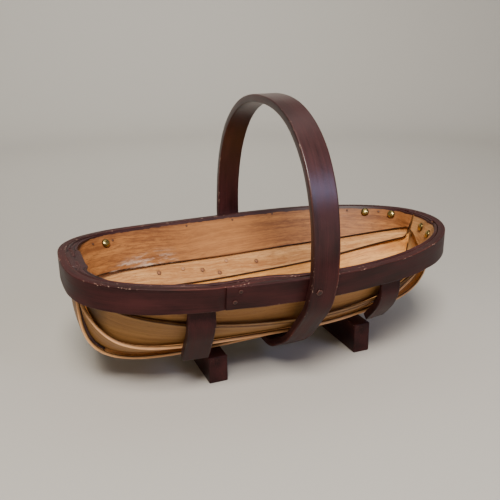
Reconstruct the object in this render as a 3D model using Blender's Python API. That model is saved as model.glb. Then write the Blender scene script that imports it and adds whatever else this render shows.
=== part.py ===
"""Garden trug: a bent rim hoop, a bent handle hoop, seven bowed boards, ribs, feet and their nails.

Metres, +Z up. X runs along the trug, Y across it, and the origin is on the floor under its middle.
Run it with: blender --background --python part.py
"""

import math

import bmesh
import bpy
import numpy as np
from mathutils import Matrix, Vector
from mathutils.bvhtree import BVHTree

MM = 0.001
CLEARANCE = 0.3 * MM  # between any two pieces that touch on the real object

# Rim hoop: a strip bent into a hand-made oval that is blunter at its left end
RIM_LENGTH = 464 * MM
RIM_HALF_WIDTH = 131 * MM
RIM_WIDENING = 0.09  # how much wider the oval gets towards its right end
RIM_BLUNTNESS_LEFT = 3.0  # superellipse powers of the two ends
RIM_BLUNTNESS_RIGHT = 2.0
RIM_TOP = 142 * MM
RIM_RISE_LEFT = 10 * MM
RIM_RISE_RIGHT = 5.5 * MM
RIM_HEIGHT = 27.5 * MM
RIM_THICKNESS = 8.5 * MM
RIM_FLARE = 8 * MM  # how far its lower edge leans in halfway along the sides, less towards the ends
STRIP_CHAMFER = 0.9 * MM
LAP_OUTER_END = -93 * MM  # along the near side, from its middle
LAP_INNER_END = -14 * MM
LAP_TAPER = 42 * MM  # each end of the strip is shaved over this length
LAP_EDGE_THICKNESS = 1.8 * MM
LAP_LEAD = 9 * MM  # how soon the strip moves in before it passes behind its other end

# Handle hoop: one strip that goes over the top, outside the rim and under the boards
HANDLE_TOP = 309 * MM
HANDLE_WIDTH = 29.5 * MM
HANDLE_THICKNESS = 8.5 * MM
HANDLE_X = 4.5 * MM
HANDLE_LEAN = math.radians(1.2)
HANDLE_ARCH_POWER = 2.28
HANDLE_SPRING_RISE = 12 * MM  # above the rim's top, where the arch begins
HANDLE_CLEARANCE = 0.9 * MM  # from the rim's top edge
HANDLE_SHOULDER_DROP = 31 * MM  # from the rim's top, where the legs leave the rim's lean
HANDLE_SHOULDER_RADIUS = 60 * MM
HANDLE_LEG_RADIUS = 40 * MM  # where they start to follow the rim's lean
HANDLE_HIP_INSET = 50.5 * MM  # in from the rim, where they turn in again beside the boards
HANDLE_HIP_DROP = 84 * MM
HANDLE_HIP_RADIUS = 90 * MM
HANDLE_BOTTOM_INSET = 92 * MM
HANDLE_BOTTOM_RADIUS = 36 * MM

# Boards: each one laps the outside of the board above it
BOARD_THICKNESS = 3.6 * MM
BOARD_END_THICKNESS = 2.6 * MM  # the right ends are shaved thinner
LAP_CLEARANCE = 0.4 * MM  # where one board rests inside another
LAP_END_CLEARANCE = 2 * MM  # the same at the ends, where the boards twist
CENTRE_HALF_WIDTH = 29 * MM
CENTRE_END_HALF_WIDTH = 24 * MM
CENTRE_BOTTOM = 34.4 * MM
CENTRE_SLOPE = 0.028  # the bottom is a little higher towards its right end
CENTRE_BEND_LEFT = 5  # superellipse powers of the upturned ends
CENTRE_BEND_RIGHT = 4.6
CENTRE_LAP = 8 * MM
BOARD_TOP_DROP = 0.5 * MM
THIRD_END_WIDTH = 26 * MM
NEAR_END_RISE = 14 * MM  # how far the near side board's right end slants up
END_STACK_CLEARANCE = 1.3 * MM  # between the boards' ends, one inside another
SECOND_RISE = 24 * MM  # a side board makes room for a second board that comes up within this of its top

# Seams between the boards: how far their top edges are below the rim's top and in from its inside, and
# how far the boards above go down inside them
NEAR_SECOND_DROP = 63 * MM
NEAR_SECOND_LEFT_DROP = 16 * MM
NEAR_SECOND_RIGHT_DROP = 20 * MM
NEAR_SECOND_INSET = 28 * MM
FAR_SECOND_DROP = 40 * MM
FAR_SECOND_LEFT_DROP = 16 * MM
FAR_SECOND_RIGHT_DROP = 16 * MM
FAR_SECOND_INSET = 23 * MM
NEAR_THIRD_DROP = 84 * MM
THIRD_LEFT_DROP = 34 * MM
NEAR_THIRD_RIGHT_DROP = 40 * MM
NEAR_THIRD_INSET = 49 * MM
NEAR_THIRD_RIGHT_INSET = 5 * MM
FAR_THIRD_DROP = 67 * MM
FAR_THIRD_LEFT_DROP = 24 * MM
FAR_THIRD_RIGHT_DROP = 27 * MM
FAR_THIRD_INSET = 41 * MM
LEFT_END_INSET = 1 * MM
RIGHT_END_INSET = 2 * MM
SEAM_SPREAD = 0.6  # an edge is never further in than this share of how far down it is
SIDE_LAP = 10 * MM
NEAR_SIDE_LEFT_LAP = 18 * MM
NEAR_SIDE_RIGHT_LAP = 18 * MM
FAR_SIDE_LEFT_LAP = 27 * MM
SECOND_LAP = 9 * MM
SECOND_LEFT_LAP = 6 * MM
END_LAP = 5 * MM

# Ribs: short bent strips over the boards, tucked inside the rim, two on each side
RIB_THICKNESS = 8.5 * MM
RIB_TOP_THICKNESS = 3.2 * MM  # shaved to go behind the rim
RIB_SHAVED_LENGTH = 20 * MM
RIB_TUCK = 7 * MM  # how far a rib goes up behind the rim
RIB_CLEARANCE = 0.6 * MM  # from the rim's inside
RIB_STAND_OFF = 1.6 * MM  # from the highest points of the boards' edges
RIB_TOP_BEND_RADIUS = 12 * MM  # where it comes out from under the rim
RIB_BEND_RADIUS = 60 * MM
RIBS = {  # x, width, height of the lower end
    "left": (-112 * MM, 28.5 * MM, 52 * MM),
    "right": (106.5 * MM, 28 * MM, 62 * MM),
}

# Feet: plain blocks across the trug
FEET = {  # x, width
    "left": (-79 * MM, 22 * MM),
    "right": (106 * MM, 21 * MM),
}
FOOT_LENGTH = 102 * MM
FOOT_CHAMFER = 0.8 * MM

# Nails: head diameter and height, shank diameter and length, height of the head's crown
BRASS_NAIL = (10.6 * MM, 3.4 * MM, 2 * MM, 8.5 * MM)
TACK = (2.8 * MM, 0.7 * MM, 1.2 * MM, 7 * MM)
BOARD_NAIL = (5.2 * MM, 0.9 * MM, 1.8 * MM, 3.2 * MM)
LAP_NAIL = (4.4 * MM, 1 * MM, 1.8 * MM, 14 * MM)
HANDLE_NAIL = (6.4 * MM, 1.2 * MM, 2.4 * MM, 15 * MM)
FOOT_NAIL = (5.2 * MM, 0.9 * MM, 2 * MM, 18 * MM)
NAIL_SIDES = 12
NAIL_CROWN_STEPS = 3
HEAD_CLEARANCE_SHARE = 0.07  # of its diameter, for a head on a hollow face
BORE_CLEARANCE = 0.25 * MM
NAIL_CUT_ABOVE = 1 * MM

# Where they are: share of the rim's half length along the board's top edge, and how far below that edge
FAR_SIDE_BRASS = [(-0.755, 14 * MM), (0.79, 9 * MM), (0.9, 9 * MM)]
FAR_SIDE_TACKS = [(-0.825, 11 * MM), (-0.71, 12 * MM), (-0.27, 8 * MM), (0.01, 8 * MM),
                  (0.262, 6 * MM), (0.7, 7 * MM), (0.85, 7 * MM)]
FAR_SECOND_NAILS = [(-0.48, 22 * MM), (-0.34, 20 * MM), (-0.23, 25 * MM),
                    (-0.135, 32 * MM), (-0.078, 17 * MM), (0.103, 24 * MM)]
# The same for the near side board's end, by the share of the way round
NEAR_END_BRASS = [(0.955, 12 * MM), (0.84, 15 * MM)]
LAP_NAILS = [(-79 * MM, 7 * MM), (-84 * MM, 20 * MM)]  # along the near side, and down from its top
HANDLE_NAIL_SHIFT = -6 * MM  # from the hoop's middle line
HANDLE_NAIL_DROP = 14 * MM
FOOT_NAIL_HALF_SPACING = 16 * MM

# Mesh fineness
OUTLINE_POINTS = 960
RIM_STATIONS = 120
BOARD_STATIONS = 68
HOOP_SPACING = 9 * MM

# Colours, linear, with roughness and metallic
PAINT = ((0.052, 0.020, 0.022, 1), 0.45, 0)
WOOD = ((0.47, 0.25, 0.11, 1), 0.6, 0)
BRASS = ((0.60, 0.42, 0.16, 1), 0.3, 1)
STEEL = ((0.10, 0.07, 0.06, 1), 0.55, 1)


def clear_scene():
    for thing in list(bpy.data.objects):
        bpy.data.objects.remove(thing, do_unlink=True)


def material(name, finish):
    colour, roughness, metallic = finish
    made = bpy.data.materials.new(name)
    made.use_nodes = True
    shader = made.node_tree.nodes["Principled BSDF"]
    shader.inputs["Base Color"].default_value = colour
    shader.inputs["Roughness"].default_value = roughness
    shader.inputs["Metallic"].default_value = metallic
    made.diffuse_color = colour
    return made


def add_object(name, points, faces, finish):
    mesh = bpy.data.meshes.new(name)
    mesh.from_pydata([tuple(p) for p in points], [], faces)
    mesh.validate()
    made = bpy.data.objects.new(name, mesh)
    made.data.materials.append(material(name, finish))
    bpy.context.scene.collection.objects.link(made)
    return made


def smooth_step(value, start, end):
    """0 before start, 1 after end, and smooth in between."""
    share = np.clip((np.asarray(value, float) - start) / (end - start), 0, 1)
    return share * share * (3 - 2 * share)


def even_points(path, count, closed=False):
    """The path's points, made evenly spaced along its length."""
    if closed:
        path = np.vstack([path, path[:1]])
    steps = np.linalg.norm(np.diff(path, axis=0), axis=1)
    reach = np.concatenate([[0], np.cumsum(steps)])
    wanted = np.linspace(0, reach[-1], count, endpoint=not closed)
    return np.stack([np.interp(wanted, reach, column) for column in path.T], axis=1)


def unit(vectors):
    return vectors / np.linalg.norm(vectors, axis=-1, keepdims=True)


class Rim:
    """The oval that the rim hoop follows, with places found by distance along it."""

    def __init__(self):
        half = RIM_LENGTH / 2
        turn = np.linspace(-0.5, 1.5, 4 * OUTLINE_POINTS, endpoint=False) * math.pi
        cosine, sine = np.cos(turn), np.sin(turn)
        power = np.where(cosine < 0, RIM_BLUNTNESS_LEFT, RIM_BLUNTNESS_RIGHT)
        x = half * np.sign(cosine) * np.abs(cosine) ** (2 / power)
        width = RIM_HALF_WIDTH * (1 + RIM_WIDENING * x / half)
        y = width * np.sign(sine) * np.abs(sine) ** (2 / power)
        self.points = even_points(np.stack([x, y], 1), OUTLINE_POINTS, closed=True)
        ahead = np.roll(self.points, -3, axis=0) - np.roll(self.points, 3, axis=0)
        ahead = unit(ahead)
        self.inward = np.stack([-ahead[:, 1], ahead[:, 0]], 1)
        steps = np.linalg.norm(np.roll(self.points, -1, axis=0) - self.points, axis=1)
        self.length = steps.sum()
        index = np.arange(OUTLINE_POINTS)
        quarter = OUTLINE_POINTS // 4
        step = self.length / OUTLINE_POINTS
        self.right_end = step * index[quarter // 4 : 2 * quarter][
            np.argmax(self.points[quarter // 4 : 2 * quarter, 0])]
        self.left_end = step * index[2 * quarter :][np.argmin(self.points[2 * quarter :, 0])]
        self.far_middle = step * (quarter + np.argmin(np.abs(self.points[quarter : 3 * quarter, 0])))

    def place(self, distance, inset, drop):
        """Points at a distance along the oval from the middle of its near side."""
        distance = np.asarray(distance, float)
        at = np.mod(distance, self.length) / self.length * OUTLINE_POINTS
        index = np.arange(OUTLINE_POINTS + 1)
        around = np.vstack([self.points, self.points[:1]])
        inward = np.vstack([self.inward, self.inward[:1]])
        flat = np.stack([np.interp(at, index, around[:, k]) for k in (0, 1)], -1)
        normal = unit(np.stack([np.interp(at, index, inward[:, k]) for k in (0, 1)], -1))
        flat = flat + normal * np.asarray(inset, float)[..., None]
        height = self.top(flat[..., 0]) - drop
        return np.concatenate([flat, height[..., None]], -1)

    def top(self, x):
        rise = np.where(x < 0, RIM_RISE_LEFT, RIM_RISE_RIGHT)
        return RIM_TOP + rise * (x / (RIM_LENGTH / 2)) ** 2

    def half_width(self, x):
        """How far from the middle the outside of the hoop is at x."""
        far_side = self.points[self.points[:, 1] > 0]
        order = np.argsort(far_side[:, 0])
        return np.interp(x, far_side[order, 0], far_side[order, 1])

    def flare(self, x):
        """How far in the hoop's lower edge leans."""
        return RIM_FLARE * (1 - smooth_step(np.abs(x) / (RIM_LENGTH / 2), 0.3, 0.85))

    def distance(self, side, share):
        """Distance for a share of the way from a side's middle, -1 at the left end to 1 at the right."""
        share = np.asarray(share, float)
        if side == "near":
            left = self.length - self.left_end
            return np.where(share < 0, share * left, share * self.right_end)
        left, right = self.left_end - self.far_middle, self.far_middle - self.right_end
        return self.far_middle - np.where(share < 0, share * left, share * right)

    def inner_x(self, y, end):
        """Where the inside of the hoop crosses a given y, at the right or left end."""
        inside = self.points + self.inward * RIM_THICKNESS
        middle = self.right_end if end > 0 else self.left_end
        at = np.arange(OUTLINE_POINTS) * self.length / OUTLINE_POINTS
        close = np.abs(at - middle) < RIM_HALF_WIDTH * 0.7
        order = np.argsort(inside[close][:, 1])
        return np.interp(y, inside[close][order, 1], inside[close][order, 0])


def ring_mesh(name, rings, finish, closed):
    """A swept solid from rings of corners, closed on itself or capped at both ends."""
    count, corners = len(rings), len(rings[0])
    points = [corner for ring in rings for corner in ring]
    faces = []
    for k in range(count if closed else count - 1):
        for j in range(corners):
            here, there = k * corners, (k + 1) % count * corners
            following = (j + 1) % corners
            faces.append((here + j, here + following, there + following, there + j))
    if not closed:
        faces.append(tuple(reversed(range(corners))))
        faces.append(tuple((count - 1) * corners + j for j in range(corners)))
    return add_object(name, points, faces, finish)


def strip_section(thickness, width):
    """Corners of a strip's chamfered section, as shares through its thickness and down its width."""
    c = min(STRIP_CHAMFER, thickness / 3)
    return [(c, 0), (0, c), (0, width - c), (c, width), (thickness - c, width),
            (thickness, width - c), (thickness, c), (thickness - c, 0)]


def lap_thickness(distance):
    """The outer end of the strip, shaved thin where the lap starts."""
    return LAP_EDGE_THICKNESS + (RIM_THICKNESS - LAP_EDGE_THICKNESS) * smooth_step(
        distance, LAP_OUTER_END, LAP_OUTER_END + LAP_TAPER)


def lap_step(distance):
    """How far inward the strip's other end lies, to pass behind the outer one."""
    starting = smooth_step(distance, LAP_OUTER_END - LAP_LEAD, LAP_OUTER_END - CLEARANCE)
    return (lap_thickness(distance) + CLEARANCE) * starting


def rim_thickness(distance):
    """The hoop's total thickness at a distance along the near side, with both layers of the lap."""
    inner_end = smooth_step(distance, LAP_INNER_END - LAP_TAPER, LAP_INNER_END)
    inner = RIM_THICKNESS + (LAP_EDGE_THICKNESS - RIM_THICKNESS) * inner_end
    leaving = smooth_step(distance, LAP_INNER_END + 2 * MM, LAP_INNER_END + LAP_LEAD)
    lapped = np.maximum(lap_step(distance) + inner - RIM_THICKNESS, 0)
    return RIM_THICKNESS + lapped * (1 - leaving)


def rim_hoop(rim):
    start, end = LAP_OUTER_END, rim.length + LAP_INNER_END
    distances = np.linspace(start, end, RIM_STATIONS)
    fine = rim.length + LAP_OUTER_END - np.linspace(-LAP_LEAD, LAP_LEAD, 9)
    distances = np.unique(np.concatenate([distances, fine]))
    near_end = distances > rim.length / 2
    beyond = distances - rim.length
    inset = np.where(near_end, lap_step(beyond), 0)
    thickness = np.where(near_end, rim_thickness(beyond) - inset, lap_thickness(distances))
    rings = []
    for distance, outer, thick in zip(distances, inset, thickness):
        section = strip_section(thick, RIM_HEIGHT)
        lean = rim.flare(rim.place(distance, 0, 0)[0]) / RIM_HEIGHT
        rings.append([rim.place(distance, outer + across + lean * down, down) for across, down in section])
    return ring_mesh("rim_hoop", rings, PAINT, closed=False)


def rounded_path(corners, radii, step):
    """A polyline with its inner corners rounded by arcs."""
    path = [np.array(corners[0])]
    for k in range(1, len(corners) - 1):
        before = unit(np.subtract(corners[k - 1], corners[k]))
        after = unit(np.subtract(corners[k + 1], corners[k]))
        half_angle = math.acos(np.clip(before @ after, -1, 1)) / 2
        back = radii[k - 1] / math.tan(half_angle)
        middle = np.add(corners[k], unit(before + after) * radii[k - 1] / math.sin(half_angle))
        first = np.add(corners[k], before * back) - middle
        last = np.add(corners[k], after * back) - middle
        sweep = math.pi - 2 * half_angle
        count = max(2, int(radii[k - 1] * sweep / step))
        for share in np.linspace(0, 1, count + 1):
            path.append(middle + unit(first * math.sin((1 - share) * sweep)
                                      + last * math.sin(share * sweep)) * radii[k - 1])
    path.append(np.array(corners[-1]))
    return np.array(path)


def underside(rim, x, width):
    """The lowest place of the centre board's underside across a strip or a foot."""
    line = centre_line(rim, 0)
    return np.min(np.interp((x - width / 2, x + width / 2), line[:, 0], line[:, 2]))


def handle_half_profile(rim):
    """The inside of the hoop's near or far half, from under the trug up to the top, as y and z."""
    widest = HANDLE_X + HANDLE_WIDTH
    leg = RIM_HALF_WIDTH * (1 + RIM_WIDENING * widest / (RIM_LENGTH / 2)) + HANDLE_CLEARANCE
    bottom = underside(rim, HANDLE_X, HANDLE_WIDTH) - CLEARANCE
    shoulder = leg - rim.flare(0) / RIM_HEIGHT * HANDLE_SHOULDER_DROP
    corners = [(0, bottom), (RIM_HALF_WIDTH - HANDLE_BOTTOM_INSET, bottom),
               (RIM_HALF_WIDTH - HANDLE_HIP_INSET, RIM_TOP - HANDLE_HIP_DROP),
               (shoulder, RIM_TOP - HANDLE_SHOULDER_DROP), (leg, RIM_TOP),
               (leg, RIM_TOP + HANDLE_SPRING_RISE)]
    radii = [HANDLE_BOTTOM_RADIUS, HANDLE_HIP_RADIUS, HANDLE_SHOULDER_RADIUS, HANDLE_LEG_RADIUS]
    lower = rounded_path(corners, radii, HOOP_SPACING)
    turn = np.linspace(0, math.pi / 2, 60)[1:]
    rise = HANDLE_TOP - HANDLE_THICKNESS - corners[-1][1]
    y = corners[-1][0] * np.cos(turn) ** (2 / HANDLE_ARCH_POWER)
    z = corners[-1][1] + rise * np.sin(turn) ** (2 / HANDLE_ARCH_POWER)
    return np.vstack([lower, np.stack([y, z], 1)])


def handle_hoop(rim):
    half = handle_half_profile(rim)
    half[:, 0] = np.maximum(half[:, 0], 0)
    loop = np.vstack([half, (half * (-1, 1))[-2:0:-1]])
    length = np.linalg.norm(np.diff(loop, axis=0), axis=1).sum()
    loop = even_points(loop, int(length / HOOP_SPACING), closed=True)
    ahead = unit(np.roll(loop, -1, axis=0) - np.roll(loop, 1, axis=0))
    outward = np.stack([ahead[:, 1], -ahead[:, 0]], 1)
    rings = []
    for (y, z), (out_y, out_z) in zip(loop, outward):
        ring = []
        for across, along in strip_section(HANDLE_THICKNESS, HANDLE_WIDTH):
            height = z + out_z * across
            x = HANDLE_X + along - HANDLE_WIDTH / 2 + math.tan(HANDLE_LEAN) * (height - RIM_TOP)
            ring.append((x, y + out_y * across, height))
        rings.append(ring)
    return ring_mesh("handle_hoop", rings, PAINT, closed=True)


def eased(share, middle, left, left_power, right, right_power):
    """A size that is one value in the middle of a board and eases to another at each end."""
    away = np.minimum(np.abs(share), 1)
    to_left = middle + (left - middle) * away ** left_power
    to_right = middle + (right - middle) * away ** right_power
    return np.where(share < 0, to_left, to_right)


# Top edges of the second and third boards, below the rim's top and in from its inside:
# middle, left end and the power that the edge eases there with, right end and its power
SEAM_DROPS = {
    ("near", "second"): (NEAR_SECOND_DROP, NEAR_SECOND_LEFT_DROP, 1.7, NEAR_SECOND_RIGHT_DROP, 2),
    ("far", "second"): (FAR_SECOND_DROP, FAR_SECOND_LEFT_DROP, 2.2, FAR_SECOND_RIGHT_DROP, 3.4),
    ("near", "third"): (NEAR_THIRD_DROP, THIRD_LEFT_DROP, 8, NEAR_THIRD_RIGHT_DROP, 3),
    ("far", "third"): (FAR_THIRD_DROP, FAR_THIRD_LEFT_DROP, 9, FAR_THIRD_RIGHT_DROP, 2.2),
}
SEAM_INSETS = {
    ("near", "second"): (NEAR_SECOND_INSET, LEFT_END_INSET, 1.6, RIGHT_END_INSET, 1.6),
    ("far", "second"): (FAR_SECOND_INSET, LEFT_END_INSET, 2, RIGHT_END_INSET, 2),
    ("near", "third"): (NEAR_THIRD_INSET, LEFT_END_INSET, 2.2, NEAR_THIRD_RIGHT_INSET, 2.6),
    ("far", "third"): (FAR_THIRD_INSET, LEFT_END_INSET, 2.2, RIGHT_END_INSET, 2.6),
}
# How far each upper board goes down inside the top edge of the one below
SEAM_LAPS = {
    ("near", "side"): (SIDE_LAP, NEAR_SIDE_LEFT_LAP, 4, NEAR_SIDE_RIGHT_LAP, 3),
    ("far", "side"): (SIDE_LAP, FAR_SIDE_LEFT_LAP, 2.2, END_LAP, 2),
    ("near", "second"): (SECOND_LAP, SECOND_LEFT_LAP, 2, END_LAP, 2),
    ("far", "second"): (SECOND_LAP, SECOND_LEFT_LAP, 2, END_LAP, 2),
}
# Ends of the boards, as shares of the way from the middle of a side to each end of the oval
BOARD_ENDS = {
    ("near", "side"): (-0.97, 1.045),
    ("far", "side"): (-0.97, 0.945),
    ("near", "second"): (-0.95, 0.93),
    ("far", "second"): (-0.95, 0.925),
    ("near", "third"): (-0.9, 0.93),
    ("far", "third"): (-0.9, 0.93),
}


def end_share(side, board, share):
    """A share of the way to the oval's ends, as a share of the way to the board's own ends."""
    left, right = BOARD_ENDS[side, board]
    return np.where(share < 0, share / -left, share / right)


def seam_lane(rim, side, board, share):
    """The outer corner of a second or third board's top edge."""
    inset = RIM_THICKNESS + seam_inset(rim, side, board, share)
    return rim.place(rim.distance(side, share), inset, seam_drop(side, board, share))


def seam_inset(rim, side, board, share):
    """How far in from the rim's inside a second or third board's top edge lies."""
    inset = eased(end_share(side, board, share), *SEAM_INSETS[side, board])
    inset = np.minimum(inset, SEAM_SPREAD * seam_drop(side, board, share))
    return np.maximum(inset, centre_room(rim, side, share))


def seam_drop(side, board, share):
    """How far below the rim's top a second or third board's top edge lies."""
    drop = eased(end_share(side, board, share), *SEAM_DROPS[side, board])
    return np.maximum(drop, BOARD_TOP_DROP)


def centre_room(rim, side, share):
    """The room that the centre board's upturned ends need inside the rim."""
    y = rim.place(rim.distance(side, share), RIM_THICKNESS, 0)[..., 1]
    beside = smooth_step(np.abs(y), CENTRE_END_HALF_WIDTH, 1.7 * CENTRE_END_HALF_WIDTH)
    return (board_thickness(share) + END_STACK_CLEARANCE) * (1 - beside)


def top_lane(rim, side, share):
    """The outer corner of a side board's top edge, against the rim or the boards' ends there."""
    distance = rim.distance(side, share)
    behind = RIM_THICKNESS
    if side == "near":
        around = distance + np.array([[-LAP_LEAD], [0], [LAP_LEAD]])
        behind = np.max(rim_thickness(around), axis=0)
    risen = 1 - smooth_step(seam_drop(side, "second", share), SECOND_RISE / 4, SECOND_RISE)
    second = seam_inset(rim, side, "second", share) + board_thickness(share) + END_STACK_CLEARANCE
    inset = behind + np.maximum(CLEARANCE + centre_room(rim, side, share), second * risen)
    return rim.place(distance, inset, BOARD_TOP_DROP)


def inward_normals(upper, lower):
    """Unit normals of the strip between two edges, pointing into the trug."""
    middle = (upper + lower) / 2
    along = np.gradient(middle, axis=0)
    normals = unit(np.cross(along, lower - upper))
    inside = middle * (0.6, 0.0, 0.0) + (0, 0, RIM_TOP)
    facing = np.sum(normals * (inside - middle))
    return normals if facing > 0 else -normals


def board_thickness(share):
    return eased(share, BOARD_THICKNESS, BOARD_THICKNESS, 1, BOARD_END_THICKNESS, 3)


def seat(share):
    """How far above a board's outer face the outer face of the board on it lies."""
    clearance = eased(share, LAP_CLEARANCE, LAP_END_CLEARANCE, 3, LAP_END_CLEARANCE, 3)
    return board_thickness(share) + clearance


def rest_on(top, upper, lower, lap, share):
    """The lower edge of the board with this top edge, a lap down inside the lower board's edges."""
    down = unit(lower - upper)
    inward = inward_normals(upper, lower)
    lift = seat(share)
    crossing = upper + inward * lift[:, None]
    across = np.sum((crossing - top) * inward, axis=1)
    along = np.maximum(np.sum((crossing - top) * down, axis=1), lap)
    lean = np.maximum(across / along, 0)
    return crossing + (down + inward * lean[:, None]) * lap[:, None]


def centre_profile(count):
    """The centre board's underside along its length: an x share, -1 to 1, and a height."""
    turn = np.linspace(-math.pi / 2, math.pi / 2, count * 12)
    sine, cosine = np.sin(turn), np.abs(np.cos(turn))
    power = np.where(sine < 0, CENTRE_BEND_LEFT, CENTRE_BEND_RIGHT)
    share = np.sign(sine) * np.abs(sine) ** (2 / power)
    end_rise = np.where(sine < 0, RIM_RISE_LEFT, RIM_RISE_RIGHT)
    top = RIM_TOP + end_rise - BOARD_TOP_DROP
    bottom = CENTRE_BOTTOM + CENTRE_SLOPE * share * RIM_LENGTH / 2
    height = top - (top - bottom) * cosine ** (2 / power)
    path = np.stack([share * RIM_LENGTH / 2, height], 1)
    path = even_points(path, count)
    return path[:, 0] / (RIM_LENGTH / 2), path[:, 1]


def centre_line(rim, across, count=BOARD_STATIONS):
    """A line along the centre board's underside, at a share of its half width from the middle."""
    share, height = centre_profile(count)
    half_width = CENTRE_HALF_WIDTH + (CENTRE_END_HALF_WIDTH - CENTRE_HALF_WIDTH) * share ** 4
    y = across * half_width
    reach = np.where(share < 0, -rim.inner_x(y, -1), rim.inner_x(y, 1)) - CLEARANCE
    return np.stack([share * reach, y, height], 1)


def board_solid(name, lines, normals, share):
    """A board from lines along its outer face, thickened inward."""
    outer = list(lines)
    thickness = board_thickness(share)[:, None]
    inner = [line + normals * thickness for line in lines]
    rings = np.stack(outer + inner[::-1], 1)
    return ring_mesh(name, rings, WOOD, closed=False)


def centre_board(rim):
    shares = (-1, -0.5, 0, 0.5, 1)
    lines = [centre_line(rim, share) for share in shares]
    normals = inward_normals(lines[0], lines[-1])
    normals[:, 1] = 0
    normals = unit(normals)
    share = centre_profile(BOARD_STATIONS)[0]
    return board_solid("centre_board", lines, normals, share)


class Boards:
    """The outer edges of every board on one side of the trug, at shares of the way along."""

    def __init__(self, rim, side):
        self.rim, self.side = rim, side
        self.sign = -1 if side == "near" else 1
        lap_share = self.sign * (1 - CENTRE_LAP / CENTRE_HALF_WIDTH)
        line = centre_line(rim, lap_share, 4 * BOARD_STATIONS)
        inward = inward_normals(line, centre_line(rim, 0, 4 * BOARD_STATIONS))
        inward[:, 1] = 0
        lift = seat(centre_profile(4 * BOARD_STATIONS)[0])
        self.rest = line + unit(inward) * lift[:, None]
        steps = np.linalg.norm(np.diff(self.rest, axis=0), axis=1)
        self.reach = np.concatenate([[0], np.cumsum(steps)])

    def third(self, share):
        upper = seam_lane(self.rim, self.side, "third", share)
        ends = np.array(BOARD_ENDS[self.side, "third"])
        low_ends = seam_lane(self.rim, self.side, "third", ends)[:, 2] - THIRD_END_WIDTH
        middle = len(self.reach) // 2
        left, right = slice(middle, None, -1), slice(middle, None)
        ends_reach = [np.interp(low_ends[0], self.rest[left, 2], self.reach[left]),
                      np.interp(low_ends[1], self.rest[right, 2], self.reach[right])]
        wanted = np.interp(share, ends, ends_reach)
        lower = np.stack([np.interp(wanted, self.reach, self.rest[:, k]) for k in range(3)], 1)
        height = upper[:, 2] - THIRD_END_WIDTH
        from_left = np.interp(height, self.rest[left, 2], self.rest[left, 0]) - self.rim.inner_x(0, -1)
        from_right = self.rim.inner_x(0, 1) - np.interp(height, self.rest[right, 2], self.rest[right, 0])
        along = end_share(self.side, "third", share)
        drop = eased(along, *SEAM_DROPS[self.side, "third"]) + THIRD_END_WIDTH
        inset = RIM_THICKNESS + np.where(share < 0, from_left, from_right)
        below = self.rim.place(self.rim.distance(self.side, share), inset, drop)
        return upper, lower + (below - lower) * smooth_step(np.abs(along), 0.95, 1.1)[:, None]

    def second(self, share):
        upper = seam_lane(self.rim, self.side, "second", share)
        lap = eased(end_share(self.side, "second", share), *SEAM_LAPS[self.side, "second"])
        return upper, rest_on(upper, *self.third(share), lap, share)

    def side_board(self, share):
        upper = top_lane(self.rim, self.side, share)
        lap = eased(share, *SEAM_LAPS[self.side, "side"])
        if self.side == "near":
            lap = lap - NEAR_END_RISE * smooth_step(share, 0.92, 1.05)
        return upper, rest_on(upper, *self.second(share), lap, share)

    def shares(self, board):
        return np.linspace(*BOARD_ENDS[self.side, board], BOARD_STATIONS)


def plank(name, edges, boards, share):
    upper, lower = edges(share)
    normals = inward_normals(upper, lower)
    lines = [upper, (upper + lower) / 2, lower]
    return board_solid(name, lines[::-boards.sign], normals, share)


def outermost(edge, x, width, slant):
    """The y and z of a seam's furthest place outward and downward within a strip's width."""
    beside = edge[np.abs(edge[:, 0] - x) < width / 2 + 2 * MM]
    return np.max(np.abs(beside[:, 1]) - slant * (beside[:, 0] - x)), np.min(beside[:, 2])


def rib_profile(rim, boards, x, width, end_height, slant):
    """The inside of a rib, from its top behind the rim down over the boards' edges, as y and z."""
    share = np.linspace(-0.8, 0.8, 8 * BOARD_STATIONS)
    side_y, side_z = outermost(boards.second(share)[0], x, width, slant)
    low_y, low_z = outermost(boards.third(share)[0], x, width, slant)
    side_y, low_y = side_y + RIB_STAND_OFF, low_y + RIB_STAND_OFF
    push = lap_step(x + 0.45 * width) if boards.side == "near" and x < 0 else 0
    behind = (RIM_THICKNESS + RIB_CLEARANCE) * math.hypot(1, slant) + push + RIB_TOP_THICKNESS
    beside = np.linspace(-width / 2, width / 2, 9)
    inside = np.min(leaning_width(rim, x + beside) - slant * beside)
    rim_edge = (inside - behind, rim.top(x) - RIM_HEIGHT)
    lean = np.min(rim.flare(x + beside)) / RIM_HEIGHT
    top = np.add(rim_edge, (lean * RIB_TUCK, RIB_TUCK))
    end_y = low_y + (low_y - side_y) / (low_z - side_z) * (end_height - low_z)
    corners = [top, rim_edge, (side_y, side_z), (end_y, end_height)]
    return rounded_path(corners, [RIB_TOP_BEND_RADIUS, RIB_BEND_RADIUS], HOOP_SPACING / 2)


def leaning_width(rim, x):
    """How far from the middle the outside of the hoop's lower edge is at x."""
    return rim.half_width(x) - rim.flare(x)


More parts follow.
